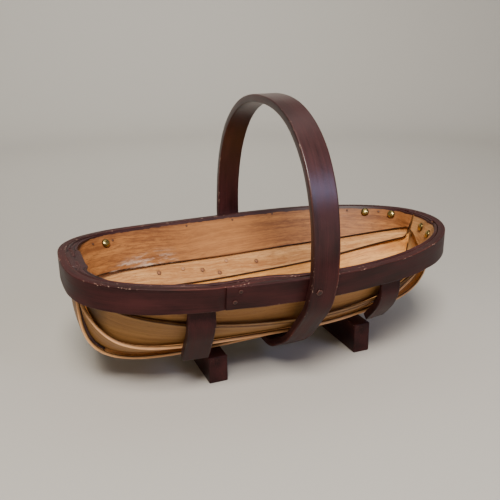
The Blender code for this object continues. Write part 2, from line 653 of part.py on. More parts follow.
def rib(name, rim, boards, x, width, end_height):
    slant = (leaning_width(rim, x + width / 2) - leaning_width(rim, x - width / 2)) / width
    path = rib_profile(rim, boards, x, width, end_height, slant)
    reach = np.concatenate([[0], np.cumsum(np.linalg.norm(np.diff(path, axis=0), axis=1))])
    thickness = RIB_TOP_THICKNESS + (RIB_THICKNESS - RIB_TOP_THICKNESS) * smooth_step(
        reach, RIB_TUCK, RIB_TUCK + RIB_SHAVED_LENGTH)
    ahead = unit(np.gradient(path, axis=0))
    rings = []
    for (y, z), (ahead_y, ahead_z), thick in zip(path, ahead, thickness):
        ring = []
        for across, down in strip_section(thick, width):
            along = down - width / 2
            out_y = y - ahead_z * across + slant * along
            ring.append((x + along, boards.sign * out_y, z + ahead_y * across))
        rings.append(ring if boards.sign < 0 else ring[::-1])
    return ring_mesh(name, rings, PAINT, closed=False)


def foot(name, rim, x, width):
    height = underside(rim, x, width) - CLEARANCE
    half, long_half = width / 2, FOOT_LENGTH / 2
    c = FOOT_CHAMFER
    outline = [(half - c, long_half), (half, long_half - c), (half, c - long_half), (half - c, -long_half),
               (c - half, -long_half), (-half, c - long_half), (-half, long_half - c), (c - half, long_half)]
    rings = [[(x + along, across, z) for along, across in outline] for z in (height, 0)]
    return ring_mesh(name, rings, PAINT, closed=False)


def nail(name, seat_point, outward, sizes, finish):
    """A round-headed nail with its head a clearance off the face that it is driven into."""
    head, crown, shank, length = sizes
    turn = np.linspace(0, math.pi / 2, NAIL_CROWN_STEPS + 1)[:-1]
    profile = [(shank / 2, -length), (shank / 2, 0)]
    profile += [(head / 2 * math.cos(angle), crown * math.sin(angle)) for angle in turn]
    start = Vector(seat_point) + Vector(outward) * (CLEARANCE + head * HEAD_CLEARANCE_SHARE)
    place = Matrix.Translation(start) @ Vector(outward).to_track_quat("Z", "Y").to_matrix().to_4x4()
    points, faces = [], []
    for radius, height in profile:
        for k in range(NAIL_SIDES):
            angle = math.tau * k / NAIL_SIDES
            points.append(place @ Vector((radius * math.cos(angle), radius * math.sin(angle), height)))
    for ring in range(len(profile) - 1):
        for k in range(NAIL_SIDES):
            here, following = ring * NAIL_SIDES + k, ring * NAIL_SIDES + (k + 1) % NAIL_SIDES
            faces.append((here, following, following + NAIL_SIDES, here + NAIL_SIDES))
    top = len(points)
    points.append(place @ Vector((0, 0, crown)))
    last = top - NAIL_SIDES
    faces.append(tuple(reversed(range(NAIL_SIDES))))
    faces += [(last + k, last + (k + 1) % NAIL_SIDES, top) for k in range(NAIL_SIDES)]
    add_object(name, points, faces, finish)
    return start, Vector(outward), shank / 2 + BORE_CLEARANCE, length + 2 * BORE_CLEARANCE


def bore_cutter(bores):
    """One cutter with a cylinder for each nail's shank."""
    mesh = bmesh.new()
    for start, outward, radius, depth in bores:
        reach = depth + NAIL_CUT_ABOVE
        middle = start + outward * (NAIL_CUT_ABOVE - reach / 2)
        turn = outward.to_track_quat("Z", "Y").to_matrix().to_4x4()
        bmesh.ops.create_cone(mesh, cap_ends=True, segments=NAIL_SIDES, radius1=radius, radius2=radius,
                              depth=reach, matrix=Matrix.Translation(middle) @ turn)
    data = bpy.data.meshes.new("nail_bores")
    mesh.to_mesh(data)
    mesh.free()
    cutter = bpy.data.objects.new("nail_bores", data)
    cutter.hide_render = True
    cutter.display_type = "WIRE"
    bpy.context.scene.collection.objects.link(cutter)
    return cutter


def cut_bores(target, cutter):
    cut = target.modifiers.new("nail_bores", "BOOLEAN")
    cut.operation = "DIFFERENCE"
    cut.solver = "EXACT"
    cut.object = cutter


def face_near(target, point):
    """The nearest place on an object's surface, and the way out of it."""
    mesh = target.data
    tree = BVHTree.FromPolygons([v.co for v in mesh.vertices], [p.vertices for p in mesh.polygons])
    place, outward, _, _ = tree.find_nearest(Vector(point))
    return place, outward


def inner_face(target, edges, share, drop):
    """The place this far below a board's top edge on its inside, and the way into the trug."""
    shares = share + np.linspace(-0.02, 0.02, 5)
    upper, lower = edges(shares)
    point = upper[2] + unit(lower - upper)[2] * drop + inward_normals(upper, lower)[2] * BOARD_THICKNESS * 2
    return face_near(target, point)


def share_at(edges, part):
    """The share of the way along a side where a board's top edge is at this share of the half length."""
    shares = np.linspace(-0.93, 0.93, 400)
    return np.interp(part * RIM_LENGTH / 2, edges(shares)[0][:, 0], shares)


def drive(label, spots, sizes, finish):
    """A nail in each of these places, numbered along the row; gives their bores."""
    return [nail("%s_%d" % (label, k + 1), *spot, sizes, finish) for k, spot in enumerate(spots)]


def nails(rim, made, near, far):
    """Every nail in its place; gives the bores for their shanks."""
    bores = []
    target = made["side_board_far"]
    for label, places, sizes, finish in (("brass_nail_far", FAR_SIDE_BRASS, BRASS_NAIL, BRASS),
                                         ("tack_far", FAR_SIDE_TACKS, TACK, STEEL)):
        spots = [inner_face(target, far.side_board, share_at(far.side_board, part), drop)
                 for part, drop in places]
        bores += drive(label, spots, sizes, finish)
    spots = [inner_face(made["side_board_near"], near.side_board, share, drop)
             for share, drop in NEAR_END_BRASS]
    bores += drive("brass_nail_end", spots, BRASS_NAIL, BRASS)
    spots = [inner_face(made["second_board_far"], far.second, share_at(far.second, part), drop)
             for part, drop in FAR_SECOND_NAILS]
    bores += drive("board_nail", spots, BOARD_NAIL, STEEL)
    spots = [face_near(made["rim_hoop"], rim.place(distance, -BOARD_THICKNESS, drop))
             for distance, drop in LAP_NAILS]
    bores += drive("lap_nail", spots, LAP_NAIL, STEEL)
    leg = np.max(np.abs([v.co.y for v in made["handle_hoop"].data.vertices]))
    for side, sign in (("near", -1), ("far", 1)):
        before = (HANDLE_X + HANDLE_NAIL_SHIFT, sign * (leg + 1 * MM), RIM_TOP - HANDLE_NAIL_DROP)
        spot = face_near(made["handle_hoop"], before)
        bores.append(nail("handle_nail_" + side, *spot, HANDLE_NAIL, STEEL))
    for end, (x, _) in FEET.items():
        for side, sign in (("near", -1), ("far", 1)):
            above = (x, sign * FOOT_NAIL_HALF_SPACING, CENTRE_BOTTOM + 4 * BOARD_THICKNESS)
            spot = face_near(made["centre_board"], above)
            bores.append(nail("foot_nail_%s_%s" % (side, end), *spot, FOOT_NAIL, STEEL))
    return bores


def main():
    clear_scene()
    rim = Rim()
    made = {"rim_hoop": rim_hoop(rim), "handle_hoop": handle_hoop(rim), "centre_board": centre_board(rim)}
    sides = {side: Boards(rim, side) for side in ("near", "far")}
    for side, boards in sides.items():
        for label, edges in (("third", boards.third), ("second", boards.second), ("side", boards.side_board)):
            name = "%s_board_%s" % (label, side)
            made[name] = plank(name, edges, boards, boards.shares(label))
        for end in RIBS:
            rib("rib_%s_%s" % (side, end), rim, boards, *RIBS[end])
    for end in FEET:
        made["foot_" + end] = foot("foot_" + end, rim, *FEET[end])
    cutter = bore_cutter(nails(rim, made, sides["near"], sides["far"]))
    for target in made.values():
        cut_bores(target, cutter)


main()
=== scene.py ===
"""The looks of a garden trug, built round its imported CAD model.

Every strip, board and nail is a surface worked out with numpy, with rounded edges and a grain attribute: how
far along the piece, across it and through it a place is, in metres. Grain, brush marks and wear follow that
attribute. Metres, +Z up, in the CAD model's own frame.
"""

import math

import bpy
import numpy as np
from mathutils import Matrix, Vector


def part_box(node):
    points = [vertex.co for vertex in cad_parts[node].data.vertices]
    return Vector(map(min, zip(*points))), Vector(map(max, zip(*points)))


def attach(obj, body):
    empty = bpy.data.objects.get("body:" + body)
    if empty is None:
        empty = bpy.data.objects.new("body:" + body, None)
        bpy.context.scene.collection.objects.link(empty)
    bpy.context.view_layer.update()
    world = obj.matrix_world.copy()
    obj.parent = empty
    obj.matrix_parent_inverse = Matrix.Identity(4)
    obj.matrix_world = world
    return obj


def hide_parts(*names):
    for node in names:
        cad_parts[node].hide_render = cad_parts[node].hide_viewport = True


MM = 0.001
NEAR, FAR = "near", "far"
ALONG_X, DOWN = (1, 0, 0), (0, 0, -1)
CLEARANCE = 0.3 * MM  # between any two pieces that touch on the real trug

# Rim hoop: a strip bent into a hand-made oval that is blunter at its left end
RIM_LENGTH = 464 * MM
RIM_HALF_WIDTH = 131 * MM
RIM_WIDENING = 0.09  # how much wider the oval gets towards its right end
RIM_BLUNTNESS = (3.0, 2.0)  # superellipse powers of the left and right ends
RIM_TOP = 142 * MM
RIM_RISE = (10 * MM, 5.5 * MM)  # of the top, at the left and right ends
RIM_HEIGHT = 27.5 * MM
RIM_THICKNESS = 8.5 * MM
RIM_FLARE = 8 * MM  # how far its lower edge leans in halfway along the sides
RIM_FLARE_FADE = (0.3, 0.85)  # where the lean dies away, as shares of the way to an end
RIM_END_REACH = 0.7 * RIM_HALF_WIDTH  # what counts as an end of the oval, each way along it
LAP_OUTER_END = -93 * MM  # along the near side, from its middle
LAP_INNER_END = -14 * MM
LAP_TAPER = 42 * MM  # each end of the strip is shaved over this length
LAP_EDGE_THICKNESS = 1.8 * MM
LAP_LEAD = 9 * MM  # how soon the strip moves in before it passes behind its other end
LAP_TRAIL = 2 * MM  # how far past its inner end the lap keeps its full room

# Handle hoop: one strip that goes over the top, outside the rim and under the boards
HANDLE_TOP = 309 * MM
HANDLE_WIDTH = 29.5 * MM
HANDLE_THICKNESS = 8.5 * MM
HANDLE_X = 4.5 * MM
HANDLE_LEAN = math.radians(1.2)
HANDLE_ARCH_POWER = 2.28
HANDLE_SPRING_RISE = 12 * MM  # above the rim's top, where the arch begins
HANDLE_CLEARANCE = 0.9 * MM  # from the rim's top edge
HANDLE_SHOULDER_DROP = 31 * MM  # from the rim's top, where the legs leave the rim's lean
HANDLE_SHOULDER_RADIUS = 60 * MM
HANDLE_LEG_RADIUS = 40 * MM  # where they start to follow the rim's lean
HANDLE_HIP_INSET = 50.5 * MM  # in from the rim, where they turn in again beside the boards
HANDLE_HIP_DROP = 84 * MM
HANDLE_HIP_RADIUS = 90 * MM
HANDLE_BOTTOM_INSET = 92 * MM
HANDLE_BOTTOM_RADIUS = 36 * MM

# Boards: each one laps the outside of the board above it
BOARD_THICKNESS = 3.6 * MM
BOARD_END_THICKNESS = 2.6 * MM  # the right ends are shaved thinner
LAP_CLEARANCE = 0.4 * MM  # where one board rests inside another
LAP_END_CLEARANCE = 2 * MM  # the same at the ends, where the boards twist
CENTRE_HALF_WIDTH = 29 * MM
CENTRE_END_HALF_WIDTH = 24 * MM
CENTRE_BOTTOM = 34.4 * MM
CENTRE_SLOPE = 0.028  # the bottom is a little higher towards its right end
CENTRE_BEND = (5, 4.6)  # superellipse powers of the upturned left and right ends
CENTRE_LAP = 8 * MM
BOARD_TOP_DROP = 0.5 * MM
THIRD_END_WIDTH = 26 * MM
THIRD_END_BLEND = (0.95, 1.1)  # where its own width takes over, as shares of the way to its end
NEAR_END_RISE = 14 * MM  # how far the near side board's right end slants up
NEAR_END_SLANT = (0.92, 1.05)  # where, as shares of the way to the oval's right end
END_STACK_CLEARANCE = 1.3 * MM  # between the boards' ends, one inside another
SECOND_RISE = 24 * MM  # a side board makes room for a second board that comes up within this of its top
CENTRE_ROOM_FADE = 1.7  # of the centre board's end half width, where nothing needs room for it any more
SEAM_SPREAD = 0.6  # a seam is never further in than this share of how far down it is

# Seams, which are the top edges of the second and third boards: how far they are below the rim's top and in
# from its inside. Each row is the middle's, the left end's with the power that it eases there with, and the
# right end's with its power
SEAM_DROPS = {
    (NEAR, "second"): (63 * MM, 16 * MM, 1.7, 20 * MM, 2),
    (FAR, "second"): (40 * MM, 16 * MM, 2.2, 16 * MM, 3.4),
    (NEAR, "third"): (84 * MM, 34 * MM, 8, 40 * MM, 3),
    (FAR, "third"): (67 * MM, 24 * MM, 9, 27 * MM, 2.2),
}
SEAM_INSETS = {
    (NEAR, "second"): (28 * MM, 1 * MM, 1.6, 2 * MM, 1.6),
    (FAR, "second"): (23 * MM, 1 * MM, 2, 2 * MM, 2),
    (NEAR, "third"): (49 * MM, 1 * MM, 2.2, 5 * MM, 2.6),
    (FAR, "third"): (41 * MM, 1 * MM, 2.2, 2 * MM, 2.6),
}
# In the same way, how far each upper board goes down inside the seam below it
SEAM_LAPS = {
    (NEAR, "side"): (10 * MM, 18 * MM, 4, 18 * MM, 3),
    (FAR, "side"): (10 * MM, 27 * MM, 2.2, 5 * MM, 2),
    (NEAR, "second"): (9 * MM, 6 * MM, 2, 5 * MM, 2),
    (FAR, "second"): (9 * MM, 6 * MM, 2, 5 * MM, 2),
}
# Left and right ends of the boards, as shares of the way from the middle of a side to each end of the oval
BOARD_ENDS = {
    (NEAR, "side"): (-0.97, 1.045),
    (FAR, "side"): (-0.97, 0.945),
    (NEAR, "second"): (-0.95, 0.93),
    (FAR, "second"): (-0.95, 0.925),
    (NEAR, "third"): (-0.9, 0.93),
    (FAR, "third"): (-0.9, 0.93),
}

# Ribs: short bent strips over the boards, tucked inside the rim, two on each side
RIB_THICKNESS = 8.5 * MM
RIB_TOP_THICKNESS = 3.2 * MM  # shaved to go behind the rim
RIB_SHAVED_LENGTH = 20 * MM
RIB_TUCK = 7 * MM  # how far a rib goes up behind the rim
RIB_CLEARANCE = 0.6 * MM  # from the rim's inside
RIB_STAND_OFF = 1.6 * MM  # from the highest points of the boards' edges
RIB_TOP_BEND_RADIUS = 12 * MM  # where it comes out from under the rim
RIB_BEND_RADIUS = 60 * MM
RIB_MARGIN = 2 * MM  # a rib keeps clear of a seam this far beside it too
RIB_LAP_SHARE = 0.45  # of its width: how far from its middle a rib makes room for the rim's lap
RIBS = {  # x, width, height of the lower end
    "left": (-112 * MM, 28.5 * MM, 52 * MM),
    "right": (106.5 * MM, 28 * MM, 62 * MM),
}

# Feet: plain blocks across the trug
FEET = {  # x, width
    "left": (-79 * MM, 22 * MM),
    "right": (106 * MM, 21 * MM),
}
FOOT_LENGTH = 102 * MM

# Paint packed between the rim and the boards' ends, and strips of painted shade in the left end's bend
PACKING_START = 0.5  # share of the way from a side's middle to the left end
PACKING_OVERLAP = 0.6 * MM
PACKING_DROP = 0.25 * MM  # below the rim's top
PACKING_THICKNESS = 2.2 * MM
PACKING_ROUNDING = 0.6 * MM
PACKING_LEDGE = 6.5 * MM  # how far it reaches past the boards round the left end
PACKING_LEDGE_RAMP = (0.6, 0.85)  # where the ledge grows, as shares of the way to the left end
SHADE_STRIP_BOTTOM = 48 * MM
SHADE_STRIP_FULL = 72 * MM  # it narrows below this height
SHADE_STRIP_END_SHARE = 0.3  # of its width, left at its lower end
SHADE_STRIP_TOP = 122 * MM
SHADE_STRIP_LANE = (0.8, 0.96)  # shares of the centre board's half width
SHADE_STRIP_THICKNESS = 3 * MM
SHADE_STRIP_OVERLAP = 0.3 * MM

# Nails
NAIL_SHANK = 0.2  # of the head's radius
NAIL_NECK = 0.02 * MM  # between the shank's end and the flat under the head
NAIL_BEVEL = (0.15 * MM, 0.1 * MM)  # of the head's lower edge, across and up
NAIL_CROWN_TURN = 0.47 * math.pi  # the crown's circle stops just short of the middle
NAIL_DENT_TURN = 9e3  # turns each nail's dents another way, by its radius in metres
STAIN_REACH = 3 * MM  # of the dark ring round a nail
STAINING = {  # the nails that have one
    (FAR, "second"): ["board_nail_%d" % k for k in (1, 3, 4, 6)],
    (FAR, "side"): ["tack_far_%d" % k for k in range(1, 8)],
}
FAINT_NAILS = ("board_nail_2", "board_nail_5")

# Looks
OUTSIDE = ("#9C713A", "#66451F")  # the boards' weathered outer faces
NAIL_SCUFF = (-1.5 * MM, -138 * MM, 130 * MM)
NAIL_SCUFF_REACH = 9 * MM
POLISHED_HEIGHTS = (160 * MM, 200 * MM)  # hands' polish grows between these
PALE_PATCH_PLACE = (-15 * MM, 122 * MM, 112 * MM)  # on the far side board
PALE_PATCH_REACH = 90 * MM
WILLOWS = {  # pale, middle and dark stripes, a seed, the outer faces and what else shows
    (NEAR, "third"): ("#DDB077", "#C08A50", "#9A6635", 1.0, OUTSIDE, "lapped", "fresh_and_highlit_edge"),
    (FAR, "third"): ("#F6B868", "#E39F52", "#BA773A", 50.0, OUTSIDE, "lapped", "fresh_and_highlit_edge"),
    (NEAR, "second"): ("#D6AC74", "#BC8B50", "#966538", 100.0, OUTSIDE, "lapped", "painted_shade_end"),
    (FAR, "second"): ("#E2AC70", "#C99054", "#A06636", 150.0, OUTSIDE, "lapped", "painted_shade_end"),
    (NEAR, "side"): ("#D8AC78", "#C0905E", "#9A6A3E", 200.0, ("#A8773F", "#77502A"), "lapped"),
    (FAR, "side"): ("#BA7D44", "#985F30", "#6A3C1B", 231.0, OUTSIDE, "lapped", "rubbed"),
}

# How finely the pieces are drawn
OUTLINE_POINTS = 960
BOARD_STATIONS = 68
BOARD_ARC = 1.15  # a bent board's length, about, as a share of its straight one
ARCH_POINTS = 60
RIB_POINTS = 200
PACKING_POINTS = 120
CENTRE_STEPS = 240
RIM_STEP = 2.2 * MM
BOARD_STEP = 2.5 * MM
RIB_STEP = 2 * MM
FOOT_STEP = 4 * MM
HOOP_SPACING = 3 * MM
NAIL_SIDES = 32
NAIL_CROWN_POINTS = 12
GROUND_SIDES = 96

# Corner roundings
RIM_ROUNDING = 1.1 * MM
HANDLE_ROUNDING = 1.3 * MM
RIB_ROUNDING = 0.9 * MM
BOARD_ROUNDING = 0.7 * MM
FOOT_ROUNDING = 1.2 * MM
EDGE_BAND = 2.5 * MM  # how far from a corner its wear reaches

# Hand-made unevenness: its size, the length of its longest wave and a seed, which a board's name and a rib's
# place give
RIM_FACE_RIPPLE = (0.2 * MM, 110 * MM, 3)
RIM_TOP_RIPPLE = (0.15 * MM, 140 * MM, 5)
RIM_WIDTH_RIPPLE = (0.3 * MM, 90 * MM, 7)
HANDLE_WIDTH_RIPPLE = (0.25 * MM, 130 * MM, 2)
HANDLE_THICKNESS_RIPPLE = (0.15 * MM, 100 * MM, 4)
PACKING_RIPPLE = (0.35 * MM, 40 * MM, 2)
BOARD_RIPPLE = (0.5 * MM, 170 * MM)
RIB_RIPPLE = (0.3 * MM, 50 * MM)
RIM_SHAVED = 0.5 * MM  # off the rim's width, the handle's thickness and a board's width, besides the ripple
HANDLE_SHAVED = 0.15 * MM
BOARD_SHAVED = 0.3 * MM

# Studio floor, which turns up into a wall all round
FLOOR_RADIUS = 1.8
WALL_RADIUS = 4.0
WALL_CURL = 1.1  # its height is this times the square of how far it is past the floor

# Camera, fitted to the photograph
LENS = 46.4
SENSOR = 36
CAMERA_AZIMUTH = math.radians(21.95)  # to the left of straight in front
CAMERA_ELEVATION = math.radians(18.63)
CAMERA_ROLL = math.radians(-0.75)
CAMERA_TARGET = (-18.7 * MM, 0, 133.1 * MM)
CAMERA_DISTANCE = 749.7 * MM


def smooth_step(value, start, end):
    """0 before start, 1 after end, and smooth in between."""
    share = np.clip((np.asarray(value, float) - start) / (end - start), 0, 1)
    return share * share * (3 - 2 * share)


def unit(vectors):
    """Vectors made one long."""
    return vectors / np.linalg.norm(vectors, axis=-1, keepdims=True)


def reach_along(path):
    """How far along a path each of its points is."""
    return np.concatenate([[0], np.cumsum(np.linalg.norm(np.diff(path, axis=0), axis=1))])


def read_off(wanted, known, path):
    """The path's places at wanted distances, between the distances that are known for its points."""
    return np.stack([np.interp(wanted, known, column) for column in path.T], axis=1)


def even_points(path, count, closed=False):
    """The path's points, made evenly spaced along its length."""
    if closed:
        path = np.vstack([path, path[:1]])
    reach = reach_along(path)
    return read_off(np.linspace(0, reach[-1], count, endpoint=not closed), reach, path)


class Rim:
    """The oval that the rim hoop follows, with places found by distance along it.

    It is a superellipse whose power differs at its two ends and which widens towards the right."""

    def __init__(self):
        half = RIM_LENGTH / 2
        turn = np.linspace(-0.5, 1.5, 4 * OUTLINE_POINTS, endpoint=False) * math.pi
        cosine, sine = np.cos(turn), np.sin(turn)
        power = np.where(cosine < 0, *RIM_BLUNTNESS)
        x = half * np.sign(cosine) * np.abs(cosine) ** (2 / power)
        width = RIM_HALF_WIDTH * (1 + RIM_WIDENING * x / half)
        y = width * np.sign(sine) * np.abs(sine) ** (2 / power)
        self.points = even_points(np.stack([x, y], 1), OUTLINE_POINTS, closed=True)
        ahead = unit(np.roll(self.points, -3, axis=0) - np.roll(self.points, 3, axis=0))
        self.inward = np.stack([-ahead[:, 1], ahead[:, 0]], 1)
        self.length = np.linalg.norm(np.roll(self.points, -1, axis=0) - self.points, axis=1).sum()
        step = self.length / OUTLINE_POINTS
        quarter = OUTLINE_POINTS // 4
        x = self.points[:, 0]
        self.right_end = step * (quarter // 4 + np.argmax(x[quarter // 4 : 2 * quarter]))
        self.left_end = step * (2 * quarter + np.argmin(x[2 * quarter :]))
        self.far_middle = step * (quarter + np.argmin(np.abs(x[quarter : 3 * quarter])))

    def place(self, distance, inset, drop):
        """Points at a distance along the oval from the middle of its near side, this far in and down."""
        at = np.mod(np.asarray(distance, float), self.length) / self.length * OUTLINE_POINTS
        index = np.arange(OUTLINE_POINTS + 1)
        flat, normal = [
            np.stack([np.interp(at, index, np.append(column, column[0])) for column in line.T], -1)
            for line in (self.points, self.inward)]
        flat = flat + unit(normal) * np.asarray(inset, float)[..., None]
        height = self.top(flat[..., 0]) - drop
        return np.concatenate([flat, height[..., None]], -1)

    def top(self, x):
        """The height of the rim's top, which rises with the square of the way to each end."""
        return RIM_TOP + np.where(x < 0, *RIM_RISE) * (x / (RIM_LENGTH / 2)) ** 2

    def half_width(self, x):
        """How far from the middle the outside of the hoop is at x."""
        far_side = self.points[self.points[:, 1] > 0]
        order = np.argsort(far_side[:, 0])
        return np.interp(x, far_side[order, 0], far_side[order, 1])

    def flare(self, x):
        """How far in the hoop's lower edge leans."""
        return RIM_FLARE * (1 - smooth_step(np.abs(x) / (RIM_LENGTH / 2), *RIM_FLARE_FADE))

    def distance(self, side, share):
        """Distance for a share of the way from a side's middle, -1 at the left end to 1 at the right."""
        share = np.asarray(share, float)
        if side == NEAR:
            return np.where(share < 0, share * (self.length - self.left_end), share * self.right_end)
        left, right = self.left_end - self.far_middle, self.far_middle - self.right_end
        return self.far_middle - np.where(share < 0, share * left, share * right)

    def inner_x(self, y, end):
        """Where the inside of the hoop crosses a given y, at the right or left end."""
        inside = self.points + self.inward * RIM_THICKNESS
        middle = self.right_end if end > 0 else self.left_end
        at = np.arange(OUTLINE_POINTS) * self.length / OUTLINE_POINTS
        close = inside[np.abs(at - middle) < RIM_END_REACH]
        order = np.argsort(close[:, 1])
        return np.interp(y, close[order, 1], close[order, 0])


def lap_thickness(distance):
    """The outer end of the strip, shaved thin where the lap starts."""
    return LAP_EDGE_THICKNESS + (RIM_THICKNESS - LAP_EDGE_THICKNESS) * smooth_step(
        distance, LAP_OUTER_END, LAP_OUTER_END + LAP_TAPER)


def lap_step(distance):
    """How far inward the strip's other end lies, to pass behind the outer one."""
    starting = smooth_step(distance, LAP_OUTER_END - LAP_LEAD, LAP_OUTER_END - CLEARANCE)
    return (lap_thickness(distance) + CLEARANCE) * starting


def rim_thickness(distance):
    """The hoop's total thickness at a distance along the near side, with both layers of the lap."""
    inner_end = smooth_step(distance, LAP_INNER_END - LAP_TAPER, LAP_INNER_END)
    inner = RIM_THICKNESS + (LAP_EDGE_THICKNESS - RIM_THICKNESS) * inner_end
    leaving = smooth_step(distance, LAP_INNER_END + LAP_TRAIL, LAP_INNER_END + LAP_LEAD)
    lapped = np.maximum(lap_step(distance) + inner - RIM_THICKNESS, 0)
    return RIM_THICKNESS + lapped * (1 - leaving)


def rounded_path(corners, radii, step):
    """A polyline with its inner corners rounded by arcs: each point of an arc is a mix of its two ends'
    directions from its middle, weighted by the sines of the angles left and gone."""
    corners = np.array(corners, float)
    path = [corners[:1]]
    for before, corner, after, radius in zip(corners, corners[1:], corners[2:], radii):
        before, after = unit(before - corner), unit(after - corner)
        half_angle = math.acos(np.clip(before @ after, -1, 1)) / 2
        back = radius / math.tan(half_angle)
        middle = corner + unit(before + after) * radius / math.sin(half_angle)
        first, last = corner + before * back - middle, corner + after * back - middle
        turn = math.pi - 2 * half_angle
        share = np.linspace(0, 1, max(2, int(radius * turn / step)) + 1)[:, None]
        path.append(middle + unit(first * np.sin((1 - share) * turn) + last * np.sin(share * turn)) * radius)
    return np.vstack(path + [corners[-1:]])


def underside(rim, x, width):
    """The lowest place of the centre board's underside across a strip or a foot."""
    line = centre_line(rim, 0)
    return np.min(np.interp((x - width / 2, x + width / 2), line[:, 0], line[:, 2]))


def handle_half_profile(rim):
    """The inside of the hoop's near or far half, from under the trug up to the top, as y and z."""
    widest = HANDLE_X + HANDLE_WIDTH
    leg = RIM_HALF_WIDTH * (1 + RIM_WIDENING * widest / (RIM_LENGTH / 2)) + HANDLE_CLEARANCE
    bottom = underside(rim, HANDLE_X, HANDLE_WIDTH) - CLEARANCE
    shoulder = leg - rim.flare(0) / RIM_HEIGHT * HANDLE_SHOULDER_DROP
    corners = [(0, bottom), (RIM_HALF_WIDTH - HANDLE_BOTTOM_INSET, bottom),
               (RIM_HALF_WIDTH - HANDLE_HIP_INSET, RIM_TOP - HANDLE_HIP_DROP),
               (shoulder, RIM_TOP - HANDLE_SHOULDER_DROP), (leg, RIM_TOP),
               (leg, RIM_TOP + HANDLE_SPRING_RISE)]
    radii = [HANDLE_BOTTOM_RADIUS, HANDLE_HIP_RADIUS, HANDLE_SHOULDER_RADIUS, HANDLE_LEG_RADIUS]
    turn = np.linspace(0, math.pi / 2, ARCH_POINTS)[1:]
    rise = HANDLE_TOP - HANDLE_THICKNESS - corners[-1][1]
    y = corners[-1][0] * np.cos(turn) ** (2 / HANDLE_ARCH_POWER)
    z = corners[-1][1] + rise * np.sin(turn) ** (2 / HANDLE_ARCH_POWER)
    return np.vstack([rounded_path(corners, radii, HOOP_SPACING), np.stack([y, z], 1)])


def eased(share, middle, left, left_power, right, right_power):
    """A size that is one value in the middle of a board and eases to another at each end."""
    away = np.minimum(np.abs(share), 1)
    to_left = middle + (left - middle) * away ** left_power
    to_right = middle + (right - middle) * away ** right_power
    return np.where(share < 0, to_left, to_right)


def end_share(side, board, share):
    """A share of the way to the oval's ends, as a share of the way to the board's own ends."""
    left, right = BOARD_ENDS[side, board]
    return np.where(share < 0, share / -left, share / right)


def seam_lane(rim, side, board, share):
    """The outer corner of a second or third board's top edge."""
    inset = RIM_THICKNESS + seam_inset(rim, side, board, share)
    return rim.place(rim.distance(side, share), inset, seam_drop(side, board, share))


def seam_inset(rim, side, board, share):
    """How far in from the rim's inside a second or third board's top edge lies."""
    inset = eased(end_share(side, board, share), *SEAM_INSETS[side, board])
    inset = np.minimum(inset, SEAM_SPREAD * seam_drop(side, board, share))
    return np.maximum(inset, centre_room(rim, side, share))


def seam_drop(side, board, share):
    """How far below the rim's top a second or third board's top edge lies."""
    return np.maximum(eased(end_share(side, board, share), *SEAM_DROPS[side, board]), BOARD_TOP_DROP)


def centre_room(rim, side, share):
    """The room that the centre board's upturned ends need inside the rim."""
    y = rim.place(rim.distance(side, share), RIM_THICKNESS, 0)[..., 1]
    beside = smooth_step(np.abs(y), CENTRE_END_HALF_WIDTH, CENTRE_ROOM_FADE * CENTRE_END_HALF_WIDTH)
    return (board_thickness(share) + END_STACK_CLEARANCE) * (1 - beside)


def top_lane(rim, side, share):
    """The outer corner of a side board's top edge, against the rim or the boards' ends there."""
    distance = rim.distance(side, share)
    behind = RIM_THICKNESS
    if side == NEAR:
        behind = np.max(rim_thickness(distance + np.array([[-LAP_LEAD], [0], [LAP_LEAD]])), axis=0)
    risen = 1 - smooth_step(seam_drop(side, "second", share), SECOND_RISE / 4, SECOND_RISE)
    second = seam_inset(rim, side, "second", share) + board_thickness(share) + END_STACK_CLEARANCE
    inset = behind + np.maximum(CLEARANCE + centre_room(rim, side, share), second * risen)
    return rim.place(distance, inset, BOARD_TOP_DROP)


def inward_normals(upper, lower):
    """Unit normals of the strip between two edges, pointing into the trug."""
    middle = (upper + lower) / 2
    normals = unit(np.cross(np.gradient(middle, axis=0), lower - upper))
    inside = middle * (0.6, 0, 0) + (0, 0, RIM_TOP)  # a place in the open middle of the trug
    return normals if np.sum(normals * (inside - middle)) > 0 else -normals


def board_thickness(share):
    """A board's thickness, even up to its middle and shaved towards its right end."""
    return eased(share, BOARD_THICKNESS, BOARD_THICKNESS, 1, BOARD_END_THICKNESS, 3)


def seat(share):
    """How far above a board's outer face the outer face of the board on it lies."""
    return board_thickness(share) + eased(share, LAP_CLEARANCE, LAP_END_CLEARANCE, 3, LAP_END_CLEARANCE, 3)


def rest_on(top, upper, lower, lap, share):
    """The lower edge of the board with this top edge, a lap down inside the lower board's edges."""
    down = unit(lower - upper)
    inward = inward_normals(upper, lower)
    crossing = upper + inward * seat(share)[:, None]
    across = np.sum((crossing - top) * inward, axis=1)
    along = np.maximum(np.sum((crossing - top) * down, axis=1), lap)
    lean = np.maximum(across / along, 0)
    return crossing + (down + inward * lean[:, None]) * lap[:, None]


def centre_profile(count):
    """The centre board's underside along its length, a half superellipse: an x share, -1 to 1, and a
    height."""
    turn = np.linspace(-math.pi / 2, math.pi / 2, count * 12)
    sine, cosine = np.sin(turn), np.abs(np.cos(turn))
    power = np.where(sine < 0, *CENTRE_BEND)
    share = np.sign(sine) * np.abs(sine) ** (2 / power)
    top = RIM_TOP + np.where(sine < 0, *RIM_RISE) - BOARD_TOP_DROP
    bottom = CENTRE_BOTTOM + CENTRE_SLOPE * share * RIM_LENGTH / 2
    height = top - (top - bottom) * cosine ** (2 / power)
    path = even_points(np.stack([share * RIM_LENGTH / 2, height], 1), count)
    return path[:, 0] / (RIM_LENGTH / 2), path[:, 1]


